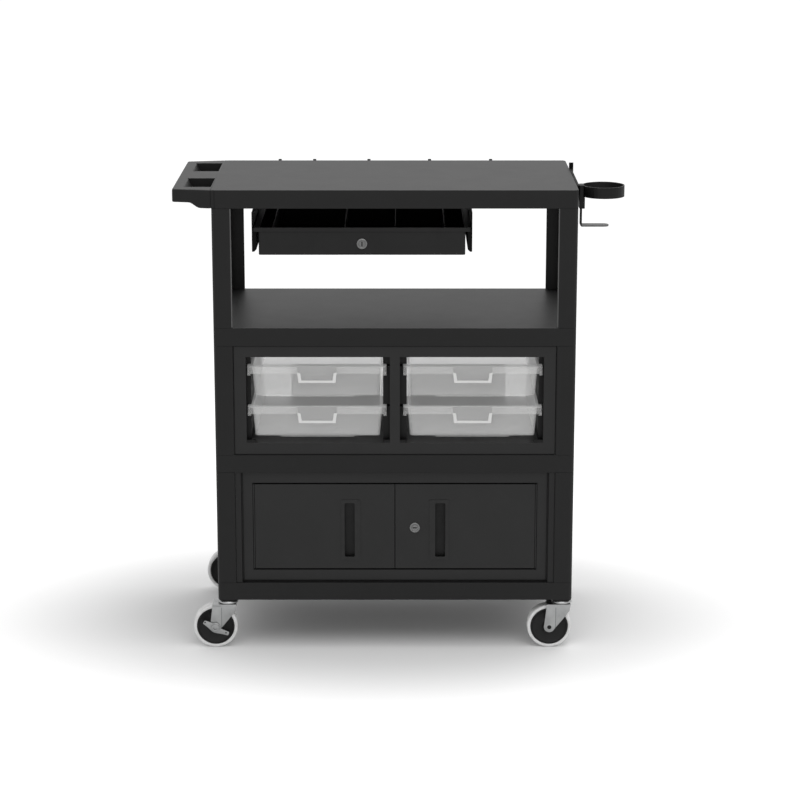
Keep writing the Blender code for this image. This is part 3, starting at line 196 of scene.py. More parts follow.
# The black parts in their own colour, range of roughness and shine
blackParts = {
    "mouldedBlackAbs": ("141414", (0.3, 0.5), 0.25),  # plain mouldings, with a dull shine
    "mouldedBlackNylon": ("070707", (0.5, 0.6), 0.08),  # hangers and bushes, drier and blacker
    "mouldedPullNylon": ("202020", (0.45, 0.55), 0.25),  # door pulls, greyer than the hangers
    "mouldedBlackPolypropylene": ("0e0e0e", (0.42, 0.55), 0.25),  # wheel discs, slightly waxy
    "mouldedCupHolder": ("0e0e0e", (0.4, 0.5), 0.2),  # the ABS ring, which shines a little
    "paintedCupRest": ("0a0a0a", (0.5, 0.6), 0.08),  # matt black paint on a bent strip
    "paintedRailBlack": ("060606", (0.5, 0.6), 0.06),  # the same paint on the rail, darker as painted shade
    "tarnishedBrassWafers": ("0a0a0a", (0.4, 0.6), 0.1),  # painted shade for the keyways
}

# Natural polypropylene: milky and see-through, matt outside from the etched mould, and whiter
# where a wall is seen edge on. The plastic also glows a little, as painted light that keeps
# the inside of a tray from going dark
frostedTray = {
    "colours": ("c8c8c7", "cfcfce"),
    "cloud": {"Scale": 1000 / 55, "Detail": 3},
    "cloudFrom": (0.3, 0.7),
    "grain": {"Scale": 1000 / 1.2, "Detail": 2},
    "grainHeight": (0.08, 0.35),
    "roughness": (0.32, 0.42),
    "cover": (0.18, 0.75),
    "coverFrom": 0.5,
    "shader": {"IOR": 1.49, "Emission Color": (1, 1, 1, 1), "Emission Strength": 0.14},
}

# The same polypropylene where it is thick: it hides nearly all that is behind it
thickTray = {**frostedTray, "cover": (0.72, 0.85)}

# Bright zinc on pressed steel: pale grey, cloudy, with fine drawing lines, and painted shade in
# its folds and holes
zincPlating = {
    "colours": ("999a9a", "a8a9a9"),
    "cloud": {"Scale": 1000 / 30, "Detail": 4},
    "cloudFrom": (0.3, 0.7),
    "grain": {"Scale": 1000 / 0.8, "Detail": 2},
    "grainHeight": (0.04, 0.25),
    "roughness": (0.45, 0.28),
    "shader": {"Metallic": 1},
}

# Satin nickel on turned brass: grey, with turning rings too fine to see one by one
satinNickel = {
    "colours": ("6d6d6d", "7e7e7e"),
    "cloud": {"Scale": 1000 / 3.3, "Detail": 3},
    "cloudFrom": (0.3, 0.7),
    "roughness": (0.22, 0.36),
    "shader": {"Metallic": 1},
}

# Non-marking thermoplastic rubber: pale grey and dull, dusty where it rolls
greyRubber = {
    "colours": ("d9d9d9", "cbcbca"),
    "cloud": {"Scale": 1000 / 16.7, "Detail": 5},
    "cloudFrom": (0.4, 0.65),
    "grain": {"Scale": 1000 / 1.0, "Detail": 3},
    "grainHeight": (0.1, 0.3),
    "roughness": (0.5, 0.7),
    "shader": {"IOR": 1.5},
}


def makeBlack(name, zones=()):
    colour, roughness, shine = blackParts[name]
    look = {**mouldedBlack, "colours": (colour, "000000"), "roughness": roughness}
    look["shader"] = {"IOR": 1.54, "Specular IOR Level": shine}
    return makeMaterial(name, look, zones)


foam = makeMaterial("structuralFoamPolyethylene", structuralFoam)
powder = makeMaterial("powderCoatedSteel", powderCoat)
blackAbs = makeBlack("mouldedBlackAbs")
polypropylene = makeMaterial("frostedPolypropylene", frostedTray)
thickPolypropylene = makeMaterial("thickPolypropylene", thickTray)
zincPlate = makeMaterial("brightZincPlate", zincPlating)
nickel = makeMaterial("turnedSatinNickel", satinNickel)
tyreRubber = makeMaterial("nonMarkingGreyRubber", greyRubber)
hangerNylon = makeBlack("mouldedBlackNylon")
discPlastic = makeBlack("mouldedBlackPolypropylene")
keywayShade = makeBlack("tarnishedBrassWafers")
print("materials made")


# Zones of another shade, mostly painted shade and painted highlight: two corners in metres, the
# millimetres over which the shade comes in along each axis, and the shade

past = 10 * mm  # how far a zone runs past the piece where it takes in all of it


def insideOf(name, inside):
    # painted shade on the inner faces of a box-shaped node, from just behind its front
    low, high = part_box(name)
    wall = inside["wall"] * mm
    low = (low[0] + wall, low[1] + inside["front"] * mm, low[2] + inside["floor"] * mm)
    high = (high[0] - wall, high[1] - wall, high[2] + mm)
    return low, high, (0.1, inside["soft"], 0.1), inside["shade"]


def drawerZones():
    # painted shade in the compartments, and on the side runners, where the hangers keep the light off
    inside = {"wall": 12.2, "front": 3.2, "floor": 12.2, "soft": 1.0, "shade": "020202"}
    runners = {"front": 4.2 * mm, "height": 8.5 * mm, "soft": (0.1, 1.0, 0.3), "shade": "060606"}
    low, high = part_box("drawer")
    low = (low[0] - past, low[1] + runners["front"], high[2] - runners["height"])
    high = (high[0] + past, high[1] + past, high[2] + past)
    return [insideOf("drawer", inside), (low, high, runners["soft"], runners["shade"])]


def bayZones():
    # painted shade in the bays of the tray cabinet, and at the foot of their walls, next to the front
    inside = {"wall": 0.6, "front": 2.2, "floor": 28.4, "soft": 8, "shade": "040404"}
    foot = {"wall": 0.6 * mm, "front": 0.4 * mm, "back": 15 * mm, "bottom": 28.1 * mm, "top": 34.6 * mm}
    low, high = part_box("bin_cabinet")
    near = (low[0] + foot["wall"], low[1] + foot["front"], low[2] + foot["bottom"])
    far = (high[0] - foot["wall"], low[1] + foot["back"], low[2] + foot["top"])
    return [insideOf("bin_cabinet", inside), (near, far, (0.1, 0.4, 0.2), inside["shade"])]


def pullZones():
    # painted shade in the hollow behind the rim of a door pull, for both pulls at once
    hollow = {"rim": 2.1 * mm, "soft": (0.1, 0.8, 0.1), "shade": "030303"}
    low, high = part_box("left_pull")[0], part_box("right_pull")[1]
    low = (low[0] - past, low[1] + hollow["rim"], low[2] - past)
    return [(low, [value + past for value in high], hollow["soft"], hollow["shade"])]


def restZones():
    # a painted highlight on the arm of the cup rest, where light from above would catch the paint
    arm = {"start": 0.45 * mm, "height": 4.2 * mm, "soft": (3, 0.1, 0.6), "shade": "6c6c6c"}
    low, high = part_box("cup_rest")
    near = (low[0] + arm["start"], low[1] - past, low[2] - past)
    far = (high[0] + past, high[1] + past, low[2] + arm["height"])
    return [(near, far, arm["soft"], arm["shade"])]


def legZones(name, side):
    # a painted highlight along the upright inner edge of a front leg
    edgeHighlight = {"inward": 2.2, "outward": 2, "deep": 4, "soft": (0.2, 0.5, 4), "shade": "5c5c5c"}
    low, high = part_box(name)
    edge = high[0] if side < 0 else low[0]
    near, far = sorted((edge + side * edgeHighlight["inward"] * mm, edge - side * edgeHighlight["outward"] * mm))
    far = (far, low[1] + edgeHighlight["deep"] * mm, high[2])
    return [((near, low[1] - mm, low[2]), far, edgeHighlight["soft"], edgeHighlight["shade"])]


def cabinetZones():
    # the upright flanges beside the frame, a shade darker than the frame
    flange = {"wide": 12.9, "deep": 20, "soft": (0.1, 0.1, 0.1), "shade": "191919"}
    low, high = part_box("cabinet_body")
    zones = []
    for side, edge in ((-1, low[0]), (1, high[0])):
        near, far = sorted((edge + side * mm, edge - side * flange["wide"] * mm))
        far = (far, low[1] + flange["deep"] * mm, high[2])
        zones.append(((near, low[1] - mm, low[2]), far, flange["soft"], flange["shade"]))
    return zones


# CAD nodes keep their shapes and take these materials


pullNylon = makeBlack("mouldedPullNylon", pullZones())
leftLeg, rightLeg = "front_left_upper_leg", "front_right_upper_leg"
bySlot = {
    "charcoal_plastic": foam,
    "powder_coated_steel": powder,
    "black_plastic": blackAbs,
    "frosted_tray_plastic": polypropylene,
    "zinc_plate": zincPlate,
    "nickel_plate": nickel,
    "grey_tyre_rubber": tyreRubber,
}
byNode = {
    "side_rail": makeBlack("paintedRailBlack"),
    "cup_rest": makeBlack("paintedCupRest", restZones()),
    "cup_holder": makeBlack("mouldedCupHolder"),
    "cabinet_body": makeMaterial("powderCoatedCabinet", powderCoat, cabinetZones()),
    "bin_cabinet": makeMaterial("powderCoatedTrayCabinet", powderCoat, bayZones()),
    "drawer": makeMaterial("structuralFoamDrawer", drawerFoam, drawerZones()),
    leftLeg: makeMaterial("structuralFoamLeftLeg", structuralFoam, legZones(leftLeg, -1)),
    rightLeg: makeMaterial("structuralFoamRightLeg", structuralFoam, legZones(rightLeg, 1)),
    "left_hanger": hangerNylon,
    "right_hanger": hangerNylon,
    "left_pull": pullNylon,
    "right_pull": pullNylon,
}
for row in frame["record"]["subparts"]:
    node = nodes[row["node"]]
    node.data.materials.clear()
    node.data.materials.append(byNode.get(row["node"], bySlot[row["material_slot"]]))
print("CAD nodes dressed")


# Meshes

meshing = {
    "creaseFrom": 40,  # degrees, above which shading breaks
    "bevelFrom": 50,  # degrees, above which an edge gets its bevel
    "bevelSteps": 2,
    "merge": 0.005 * mm,
}


def inMetres(points):
    return [(a * mm, b * mm) for a, b in points]


def meshFrom(name, working):
    bmesh.ops.recalc_face_normals(working, faces=working.faces)
    mesh = bpy.data.meshes.new(name)
    working.to_mesh(mesh)
    working.free()
    mesh.shade_smooth()
    mesh.set_sharp_from_angle(angle=math.radians(meshing["creaseFrom"]))
    return mesh


def lathe(name, profile, steps=96, along="Z", closed=True):
    # profile: (radius, height) points in order; closed joins the last to the first
    working = bmesh.new()
    ring = [working.verts.new((radius, 0, height)) for radius, height in profile]
    pairs = list(zip(ring, ring[1:])) + ([(ring[-1], ring[0])] if closed else [])
    geom = ring + [working.edges.new(pair) for pair in pairs]
    turn = {"angle": 2 * math.pi, "axis": (0, 0, 1), "cent": (0, 0, 0)}
    bmesh.ops.spin(working, geom=geom, steps=steps, use_merge=True, **turn)
    bmesh.ops.remove_doubles(working, verts=working.verts, dist=meshing["merge"])
    if along == "Y":
        lying = Matrix.Rotation(math.pi / 2, 3, "X")
        bmesh.ops.rotate(working, verts=working.verts, cent=(0, 0, 0), matrix=lying)
    return meshFrom(name, working)


def pressedPlate(name, outline, low, high, along="Y", bevel=0.0, lines=(), shift=None):
    # a flat outline with thickness; lines are cuts across it, and shift moves its points
    working = bmesh.new()
    toSpace = {
        "X": lambda a, b, h: (h, a, b),
        "Y": lambda a, b, h: (a, h, b),
        "Z": lambda a, b, h: (a, b, h),
    }[along]
    working.faces.new([working.verts.new(toSpace(a, b, low)) for a, b in outline])
    for position in lines:
        geom = list(working.verts) + list(working.edges) + list(working.faces)
        plane = {"plane_co": toSpace(position, 0, low), "plane_no": toSpace(1, 0, 0)}
        bmesh.ops.bisect_plane(working, geom=geom, **plane)
    grown = bmesh.ops.extrude_face_region(working, geom=list(working.faces))
    up = Vector(toSpace(0, 0, high - low))
    for item in grown["geom"]:
        if isinstance(item, bmesh.types.BMVert):
            item.co += up
    bmesh.ops.recalc_face_normals(working, faces=working.faces)
    if bevel:
        limit = math.radians(meshing["bevelFrom"])
        sharp = [e for e in working.edges if len(e.link_faces) == 2 and e.calc_face_angle() > limit]
        rounding = {"offset": bevel, "segments": meshing["bevelSteps"], "profile": 0.5}
        bmesh.ops.bevel(working, geom=sharp, affect="EDGES", **rounding)
    if shift is not None:
        for vert in working.verts:
            vert.co += shift(vert.co)
    return meshFrom(name, working)


def arc(centre, radius, first, last, steps):
    points = []
    for step in range(steps + 1):
        angle = math.radians(first + (last - first) * step / steps)
        points.append((centre[0] + radius * math.cos(angle), centre[1] + radius * math.sin(angle)))
    return points


def joined(name, meshes):
    working = bmesh.new()
    for mesh in meshes:
        working.from_mesh(mesh)
        bpy.data.meshes.remove(mesh)
    return meshFrom(name, working)


def mirroredY(mesh, name):
    working = bmesh.new()
    working.from_mesh(mesh)
    for vert in working.verts:
        vert.co.y = -vert.co.y
    bmesh.ops.reverse_faces(working, faces=working.faces)
    return meshFrom(name, working)


def place(name, mesh, material, spot, body, stands=(), turn=(0, 0, 0)):
    piece = bpy.data.objects.new(name, mesh)
    if not mesh.materials:
        mesh.materials.append(material)
    piece.location = spot
    piece.rotation_euler = turn
    scene.collection.objects.link(piece)
    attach(piece, body)
    if stands:
        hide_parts(*stands)


# Casters, in millimetres. Each stands with its swivel on the Z axis and the floor at zero, and
# what turns on the axle is made round the origin

caster = {
    "wheelRadius": 50.8,
    "discRadius": 43.3,
    "beadRadius": 43.55,
    "treadWidth": 30,
    "shoulder": 3.8,
    "trail": 29,
    "cheekInner": 19,
    "cheekWall": 2.6,
    "creaseAhead": 14.5,
    "creaseHalf": 2.2,
    "creaseDepth": 1.7,
    "flare": 2.4,
    "flareOver": 30,
    "fadeBelow": 4,
    "fadeOver": 6,
    "forkTop": 105.4,
    "forkFront": 19.3,
    "forkBack": 6.2,
    "bendRadius": 3,
    "raceBottom": 105.7,
    "bossUnderside": 114.2,
    "axleBore": 5,
    "sleeveRadius": 6.6,
    "headReach": 1.3,
    "brakedHeadReach": 6.7,
}
cheekOuter = caster["cheekInner"] + caster["cheekWall"]
creaseAt = caster["creaseAhead"] - caster["trail"]


def tyreMesh():
    # flat tread, round shoulders, and a bead that overlaps the disc
    half, shoulder, bead = caster["treadWidth"] / 2, caster["shoulder"], caster["beadRadius"]
    centre = (caster["wheelRadius"] - shoulder, half - shoulder)
    profile = [(bead, 1.0 - half), (bead + 0.8, 0.3 - half)]
    profile += [(radius, -height) for radius, height in arc(centre, shoulder, 90, 0, 8)]
    profile += arc(centre, shoulder, 0, 90, 8)
    profile += [(bead + 0.8, half - 0.3), (bead, half - 1.0)]
    return lathe("casterTyre", inMetres(profile), 120, "Y")


def discMesh():
    # a moulded web with a raised rim, a dished middle and a hub boss
    disc = caster["discRadius"]
    side = [(disc, 13.2), (disc - 1.2, 14), (disc - 3.4, 14), (disc - 4.6, 12.6), (disc - 6.5, 11.2)]
    side += [(22, 10.6), (17.5, 11.2), (15.4, 13), (14.6, 16.6), (13.8, 17.4), (7.4, 17.4)]
    profile = side + [(radius, -height) for radius, height in reversed(side)]
    return lathe("casterDisc", inMetres(profile), 96, "Y")


def cheekOutline():
    top, radius, trail = caster["forkTop"], caster["wheelRadius"], caster["trail"]
    points = [(caster["forkFront"], top), (17.2, radius + 38), (4.5, radius + 21.7)]
    points += [(18.3 - trail, radius + 3.3), *arc((-trail, radius), 12.5, -28, -178, 14)]
    points += [(-trail - 7.8, radius + 40), (-trail - caster["forkBack"], top)]
    return inMetres(points)


def creaseShift(sign):
    # the upright crease of a cheek, and the flare ahead of it, which both fade out at the top
    def shift(co):
        x, z = co.x / mm, co.z / mm
        fade = min(1.0, max(0.0, (caster["forkTop"] - caster["fadeBelow"] - z) / caster["fadeOver"]))
        crease = caster["creaseDepth"] * max(0.0, 1 - abs(x - creaseAt) / caster["creaseHalf"])
        flare = caster["flare"] * max(0.0, (x - creaseAt) / caster["flareOver"])
        return Vector((0, -sign * (crease + flare) * fade * mm, 0))
    return shift


def forkBend(name):
    # the plate between the cheeks, with the bends rounded over
    inner, top, bend = caster["cheekInner"], caster["forkTop"], caster["bendRadius"]
    right = arc((cheekOuter - bend, top - bend), bend, 0, 90, 6)
    left = arc((bend - cheekOuter, top - bend), bend, 90, 180, 6)
    ring = [(cheekOuter, top - 4), *right, *left, (-cheekOuter, top - 4)]
    ring += [(-inner, top - 4), (-inner, top - 2.4), (inner, top - 2.4), (inner, top - 4)]
    back, front = -caster["trail"] - caster["forkBack"], caster["forkFront"]
    return pressedPlate(name, inMetres(ring), back * mm, front * mm, "X")


def forkMesh(name, brakeSide=0):
    # two creased cheeks, the bend over them, and the axle with a rivet head at each end. The
    # head is longer where it carries the brake rocker
    shapes = []
    cuts = [(creaseAt + ahead) * mm for ahead in (-caster["creaseHalf"], 0, caster["creaseHalf"], 12, 22)]
    bore, sleeve = caster["axleBore"], caster["sleeveRadius"]
    axle = Matrix.Translation((-caster["trail"] * mm, 0, caster["wheelRadius"] * mm))
    for sign in (-1, 1):
        low, high = sorted((sign * caster["cheekInner"] * mm, sign * cheekOuter * mm))
        cheek = {"bevel": 0.6 * mm, "lines": cuts, "shift": creaseShift(sign)}
        shapes.append(pressedPlate(f"{name}Cheek{sign}", cheekOutline(), low, high, **cheek))
    shapes.append(forkBend(name + "Top"))
    for sign in (-1, 1):
        reach = cheekOuter + caster["brakedHeadReach" if sign == brakeSide else "headReach"]
        head = [(bore, cheekOuter - 1), (bore, reach - 0.2), (5.6, reach), (7.2, reach)]
        head += [(8, reach - 0.5), (8, reach - 1.1), (sleeve, reach - 1.1), (sleeve, cheekOuter - 1)]
        rivet = lathe(f"{name}Rivet{sign}", inMetres(head), 40, "Y")
        if sign > 0:
            rivet = mirroredY(rivet, f"{name}RivetBack")
        rivet.transform(axle)
        shapes.append(rivet)
    ring = [(sleeve, -cheekOuter), (sleeve, cheekOuter), (bore, cheekOuter), (bore, -cheekOuter)]
    tube = lathe(name + "Sleeve", inMetres(ring), 40, "Y")
    tube.transform(axle)
    shapes.append(tube)
    return joined(name, shapes)


def racewayMesh():
    # a pressed dish over the ball track, with the stem above it
    bottom, boss = caster["raceBottom"], caster["bossUnderside"]
    profile = [
        (0, boss + 33), (4.6, boss + 33), (5.5, boss + 31.6), (5.5, boss + 0.4), (9.5, boss),
        (15.5, boss - 0.4), (19.4, boss - 1.5), (21.8, boss - 3.2), (23, bottom + 3.2),
        (23.2, bottom + 2.2), (22.6, bottom + 1), (21.4, bottom + 0.5), (17.5, bottom + 0.7),
        (16.8, bottom), (5.4, bottom), (5.4, bottom - 3), (9, bottom - 3.2), (8.6, bottom - 5),
        (6, bottom - 5.8), (0, bottom - 5.8),
    ]
    return lathe("casterRaceway", inMetres(profile), 72, "Z", closed=False)


def rockerMesh():
    # a stamped lever that is pressed down at one end or the other, on a turned boss
    face, wall, bevel = -22.3, 2.6, 0.5
    curl = {"from": 21, "over": 12, "out": 1.2}
    lever = [
        (-22.6, 17.0), (-25.6, 15.6), (-28.5, 10.4), (-28.0, 9.2), (-17.5, 0.2), (-6.6, -10.2),
        (-2.4, -12.3), (3.0, -13.6), (27.6, -18.6), (29.4, -17.6), (31.6, -11.6), (30.4, -10.2),
        (12.2, -2.6), *arc((0, 0), 11.6, 0, 118, 10),
    ]
    boss = [
        (6.9, 0.2), (6.9, 4.0), (7.6, 4.3), (8.9, 4.2), (9.5, 3.3), (10.2, 3.1), (10.8, 3.5),
        (11.5, 3.1), (11.8, 0.4),
    ]
    boss = [(radius, height - face) for radius, height in boss]

    def tipShift(co):
        # both tips curl out of the plate a little, for the toe
        share = max(0.0, (math.hypot(co.x, co.z) / mm - curl["from"]) / curl["over"])
        return Vector((0, -curl["out"] * share ** 2 * mm, 0))

    cuts = [x * mm for x in (-24, -20, -15, 15, 20, 25, 29)]
    low, high = (face - wall) * mm, face * mm
    plate = pressedPlate("leverPlate", inMetres(lever), low, high, "Y", bevel * mm, cuts, tipShift)
    rings = lathe("leverRings", inMetres(boss), 60, "Y")
    return joined("brakeRocker", [plate, rings])


def axleEndMesh():
    # the cap over a plain axle end
    face = cheekOuter + 1.5
    cap = [(0, face), (4, face), (4.6, face - 0.4), (4.9, face - 1.2), (4.9, face - 3), (0, face - 3)]
    return lathe("axleEnd", inMetres(cap), 40, "Y", closed=False)


def creaseZone():
    # painted shade in the fold of the crease, on both cheeks
    fold = {"half": 1, "bottom": 40, "below": 6, "across": 40, "soft": (0.5, 1, 3), "shade": "787a7a"}
    top = caster["forkTop"] - fold["below"]
    low = [value * mm for value in (creaseAt - fold["half"], -fold["across"], fold["bottom"])]
    high = [value * mm for value in (creaseAt + fold["half"], fold["across"], top)]
    return low, high, fold["soft"], fold["shade"]


def leverHoles():
    # painted shade where the holes in the two ends of the lever are, which are too small to cut
    hole = {"half": 2.2, "across": 60, "soft": (1, 1, 1), "shade": "2c2c2c"}
    half, across = hole["half"], hole["across"]
    holes = []
    for x, z in ((-23.6, 12.6), (24.2, -12.4)):
        low = [value * mm for value in (x - half, -across, z - half)]
        high = [value * mm for value in (x + half, across, z + half)]
        holes.append((low, high, hole["soft"], hole["shade"]))
    return holes


def makeCasters():
    forkZinc = makeMaterial("pressedForkZinc", zincPlating, [creaseZone()])
    leverZinc = makeMaterial("stampedLeverZinc", zincPlating, leverHoles())
    tyre, disc, raceway, plainFork = tyreMesh(), discMesh(), racewayMesh(), forkMesh("casterFork")
    # what sits on one side of a fork is made for the front and mirrored for the back
    rockers, ends = {-1: rockerMesh()}, {-1: axleEndMesh()}
    rockers[1] = mirroredY(rockers[-1], "brakeRockerBack")
    ends[1] = mirroredY(ends[-1], "axleEndBack")
    braked = {"front_left": -1, "rear_left": 1}
    for corner in ("front_left", "front_right", "rear_left", "rear_right"):
        x, y, _ = jointSpot(corner + "_swivel_turn")
        swivel, axle = (x, y, 0), (x - caster["trail"] * mm, y, caster["wheelRadius"] * mm)
        wheelBody, swivelBody = corner + "_wheel", corner + "_swivel"
        side = braked.get(corner, 0)
        fork = forkMesh(corner + "BrakedFork", side) if side else plainFork
        pieces = [
            ("_tyre_round", tyre, tyreRubber, axle, wheelBody, "grey_tyre_rubber", ["_tyre"]),
            ("_disc", disc, discPlastic, axle, wheelBody, "black_plastic", ["_wheel_core"]),
        ]
        for way, end in ((-1, "_axle_end_front"), (1, "_axle_end_back")):
            if way != side:
                pieces.append((end, ends[way], discPlastic, axle, swivelBody, "zinc_plate", []))
        pieces += [
            ("_fork_pressing", fork, forkZinc, swivel, swivelBody, "zinc_plate", ["_fork"]),
            ("_raceway", raceway, zincPlate, swivel, "cart", "zinc_plate", ["_caster_stem"]),
        ]
        if side:
            rocker = ("_brake_rocker", rockers[side], leverZinc, axle, corner + "_brake", "zinc_plate")
            pieces.append((*rocker, ["_brake_lever"]))
        for piece, mesh, material, spot, body, slot, stands in pieces:
            place(corner + piece, mesh, material, spot, body, [corner + node for node in stands])


makeCasters()
print("casters made")


# Locks


def makeLocks():
    # a turned bezel round the bore, and a dark plate in the keyway as painted shade
    lock = {
        "bezel": 12,
        "bore": 7.35,
        "body": 9.5,
        "proud": 2.5,
        "seat": 0.35,
        "depth": {"drawer": 5, "cabinet": 15},
        "keywayWidth": 2.4,
        "keywayLength": 11,
        "keywaySpan": (0.15, 0.6),
        "keywayAhead": 0.25,
    }
    proud, bezel, bore, body, seat = [lock[key] for key in ("proud", "bezel", "bore", "body", "seat")]
    half, end = lock["keywayWidth"] / 2, lock["keywayLength"] / 2
    slotRing = inMetres(arc((0, end - half), half, 0, 180, 6) + arc((0, half - end), half, 180, 360, 6))
    near, far = [depth * mm for depth in lock["keywaySpan"]]
    for kind, carrier, turn in (("drawer", "drawer", 0), ("cabinet", "right_door", math.pi / 2)):
        barrel, depth = kind + "_lock_barrel", lock["depth"][kind]
        x, y, z = jointSpot(kind + "_lock_turn")
        profile = [(bore, -depth), (bore, proud - 0.9), (bore + 0.5, proud - 0.2), (bore + 1.2, proud)]
        profile += [(bezel - 1.9, proud), (bezel - 0.8, proud - 0.4), (bezel - 0.15, proud - 1.1)]
        profile += [(bezel, seat), (body, seat), (body, -depth)]
        mesh = lathe(barrel + "Turned", inMetres(profile), 72, "Y")
        place(barrel + "_turned", mesh, nickel, (x, y, z), carrier, [barrel])
        keyway = pressedPlate(barrel + "Keyway", slotRing, near, far)
        face = (x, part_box(kind + "_lock_plug")[0][1] - lock["keywayAhead"] * mm, z)
        name, plugBody = kind + "_lock_keyway", kind + "_lock"
        place(name, keyway, keywayShade, face, plugBody, turn=(0, turn, 0))


makeLocks()
print("locks made")


# Top moulding


def makeHandleWeld():
    # the handle is welded to the shelf: a bead fills the rounded corners and the line across
    weld = {
        "corner": 10 * mm,
        "sunk": 0.2 * mm,
        "overlap": 0.2 * mm,
        "raised": 0.4 * mm,
        "strip": 3.2 * mm,
        "thick": 1.5 * mm,
        "round": 0.3 * mm,
    }
    low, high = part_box("top_shelf")
    radius, sunk = weld["corner"], weld["sunk"]
    left = low[0] - weld["overlap"]
    for name, edge, way in (("weld_front", low[1], 1), ("weld_back", high[1], -1)):
        points = [(left, edge + way * sunk), (low[0] + radius, edge + way * sunk)]
        for x, y in arc((0, 0), radius + 0.1 * mm, 90, 180, 10)[1:]:
            points.append((low[0] + radius + x, edge + way * (radius - y)))
        points.append((left, edge + way * (radius + mm)))
        if way < 0:
            points.reverse()
        mesh = pressedPlate(name, points, low[2] + weld["raised"], high[2] - sunk, "Z")
        place(name, mesh, foam, (0, 0, 0), "cart")
    left, right = low[0] - weld["strip"] / 2, low[0] + weld["strip"] / 2
    front, back = low[1] + mm, high[1] - mm
    outline = [(left, front), (right, front), (right, back), (left, back)]
    top = high[2] - sunk
    mesh = pressedPlate("weldStrip", outline, top - weld["thick"], top, "Z", weld["round"])
    place("weld_across", mesh, foam, (0, 0, 0), "cart")


makeHandleWeld()
print("handle welded")


# Door hinges


def makeHingeBushes():
    # a black bush sits in the reveal at each end of a hinge pin
    bush = {"radius": 2.4, "length": 3.2, "round": 0.4}
    radius, length, edge = bush["radius"], bush["length"], bush["round"]
    profile = [(0, 0), (radius - edge, 0), (radius, edge)]
    profile += [(radius, length - edge), (radius - edge, length), (0, length)]
    mesh = lathe("hingeBush", inMetres(profile), 32, "Z", closed=False)
    for name in ("left_door", "right_door"):
        low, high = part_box(name)
        pinLow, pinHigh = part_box(name.replace("door", "hinge_pin"))
        x, y = (pinLow[0] + pinHigh[0]) / 2, (pinLow[1] + pinHigh[1]) / 2
        for end, level in (("low", low[2] - length * mm), ("high", high[2])):
            place(f"{name}_bush_{end}", mesh, hangerNylon, (x, y, level), "cart")


makeHingeBushes()
print("hinge bushes made")


# Trays


def makeTrayLips():
    # the moulded lip round each finger scoop is solid, so it is whiter than the walls
    lip = {"above": 35 * mm, "ahead": 0.1 * mm, "proud": 0.7 * mm, "round": 0.25 * mm}
    outer = [(-45.0, 23.4), (-43.6, 17.0), (-41.8, 0.0), (41.8, 0.0), (43.6, 17.0), (45.0, 23.4)]
    inner = [(37.6, 22.4), (35.0, 5.2), (-35.0, 5.2), (-37.6, 22.4)]
    mesh = pressedPlate("trayLip", inMetres(outer + inner), -lip["proud"], 0, "Y", lip["round"])
    for name in ("upper_left_tray", "upper_right_tray", "lower_left_tray", "lower_right_tray"):
        low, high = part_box(name)
        spot = ((low[0] + high[0]) / 2, low[1] - lip["ahead"], low[2] + lip["above"])
        place(name + "_scoop_lip", mesh, thickPolypropylene, spot, name)


makeTrayLips()
print("tray lips made")


# Studio

studio = {
    "cameraPlace": (0.00102, -5.51789, 1.90345),
    "cameraTilt": 13.95,
    "lens": 108.79,
    "sensor": 36,
    "farthest": 100,
    "aim": (0, 0, 0.5),
    "keySize": (3.2, 2.4),
    "keyPower": 32,
    "keyPlace": (0.4, -2.3, 3.6),
    "topSize": (2.4, 2.4),
    "topPower": 42,
    "topPlace": (0.8, 0.2, 3.5),
    "ambient": 0.75,
    "floorHalf": 20,
    "floorLit": "f4f4f4",
    "floorSeen": "e7e7e7",
    "floorRoughness": 0.9,
    "floorShine": 0.1,
    "floorGlow": (0.01, 0.42),
    "floorGlowFrom": (0.5, 1.3),
    "floorGlowShape": (1, 1.7, 1),
    "wallsSeenThrough": 32,
}
white = (1, 1, 1, 1)


def addCamera():
    cameraData = bpy.data.cameras.new("photoCamera")
    cameraData.lens = studio["lens"]
    cameraData.sensor_width = studio["sensor"]
    cameraData.clip_end = studio["farthest"]
    camera = bpy.data.objects.new("photoCamera", cameraData)
    camera.location = studio["cameraPlace"]
    camera.rotation_euler = (math.radians(90 - studio["cameraTilt"]), 0, 0)
    scene.collection.objects.link(camera)
    scene.camera = camera


def addSoftbox(kind):
    data = bpy.data.lights.new(kind + "Softbox", "AREA")
    data.shape = "RECTANGLE"
    data.size, data.size_y = studio[kind + "Size"]
    data.energy = studio[kind + "Power"]
    lamp = bpy.data.objects.new(kind + "Softbox", data)
    lamp.location = studio[kind + "Place"]
    view = Vector(studio["aim"]) - Vector(studio[kind + "Place"])
    lamp.rotation_euler = view.to_track_quat("-Z", "Y").to_euler()
    scene.collection.objects.link(lamp)


def addWorld():
    # the world lights the cart less than it shows to the camera, in metal and through the trays
    world = bpy.data.worlds.new("paleStudio")
    scene.world = world
    world.use_nodes = True
    tree = world.node_tree
    tree.nodes.clear()
    path = addNode(tree, "ShaderNodeLightPath").outputs
    seen = path["Is Camera Ray"]
    for ray in ("Is Glossy Ray", "Is Transmission Ray"):
        seen = addNode(tree, "ShaderNodeMath", {"operation": "MAXIMUM"}, {0: seen, 1: path[ray]}).outputs[0]
    strength = addNode(tree, "ShaderNodeMapRange", {"To Min": studio["ambient"]}, {"Value": seen})
    back = {"Strength": strength.outputs["Result"]}
    back = addNode(tree, "ShaderNodeBackground", {"Color": white}, back)
    addNode(tree, "ShaderNodeOutputWorld", {}, {"Surface": back.outputs[0]})


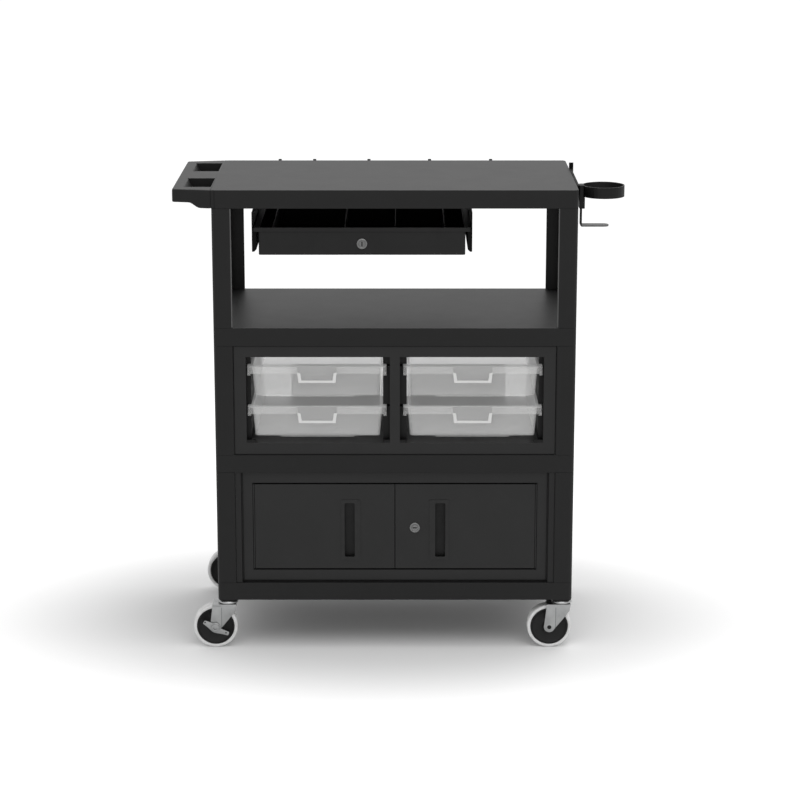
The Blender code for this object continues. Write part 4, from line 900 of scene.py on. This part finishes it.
def floorMaterial():
    # For the camera the floor is a shade darker and gets a little light of its own near the
    # cart, and more far off: painted shadow round the cart, so that only the cart's shadow is darker than white
    material, tree = newMaterial("paleStudioFloor")
    coords = addNode(tree, "ShaderNodeTexCoord").outputs["Object"]
    seen = addNode(tree, "ShaderNodeLightPath").outputs["Is Camera Ray"]
    pair = {"data_type": "RGBA", 6: linear(studio["floorLit"]), 7: linear(studio["floorSeen"])}
    tone = addNode(tree, "ShaderNodeMix", pair, {0: seen}).outputs[2]
    oval = {"operation": "MULTIPLY", 1: studio["floorGlowShape"]}
    oval = addNode(tree, "ShaderNodeVectorMath", oval, {0: coords}).outputs["Vector"]
    away = addNode(tree, "ShaderNodeVectorMath", {"operation": "LENGTH"}, {0: oval}).outputs["Value"]
    near, far = studio["floorGlowFrom"]
    low, high = studio["floorGlow"]
    ramp = {"From Min": near, "From Max": far, "To Min": low, "To Max": high}
    ramp["interpolation_type"] = "SMOOTHSTEP"
    glow = addNode(tree, "ShaderNodeMapRange", ramp, {"Value": away}).outputs["Result"]
    glow = addNode(tree, "ShaderNodeMath", {"operation": "MULTIPLY"}, {0: glow, 1: seen}).outputs[0]
    settings = {"Roughness": studio["floorRoughness"], "Specular IOR Level": studio["floorShine"]}
    feeds = {"Base Color": tone, "Emission Strength": glow}
    shader = addNode(tree, "ShaderNodeBsdfPrincipled", {**settings, "Emission Color": white}, feeds)
    addNode(tree, "ShaderNodeOutputMaterial", {}, {"Surface": shader.outputs["BSDF"]})
    return material


def addFloor():
    mesh = bpy.data.meshes.new("studioFloor")
    working = bmesh.new()
    bmesh.ops.create_grid(working, x_segments=1, y_segments=1, size=studio["floorHalf"])
    working.to_mesh(mesh)
    working.free()
    mesh.materials.append(floorMaterial())
    floor = bpy.data.objects.new("studioFloor", mesh)
    scene.collection.objects.link(floor)


addCamera()
addSoftbox("key")
addSoftbox("top")
addWorld()
addFloor()
# a look through two trays passes more walls than Cycles follows by default
scene.cycles.transparent_max_bounces = studio["wallsSeenThrough"]
scene.view_settings.view_transform = "Standard"
print("studio set")
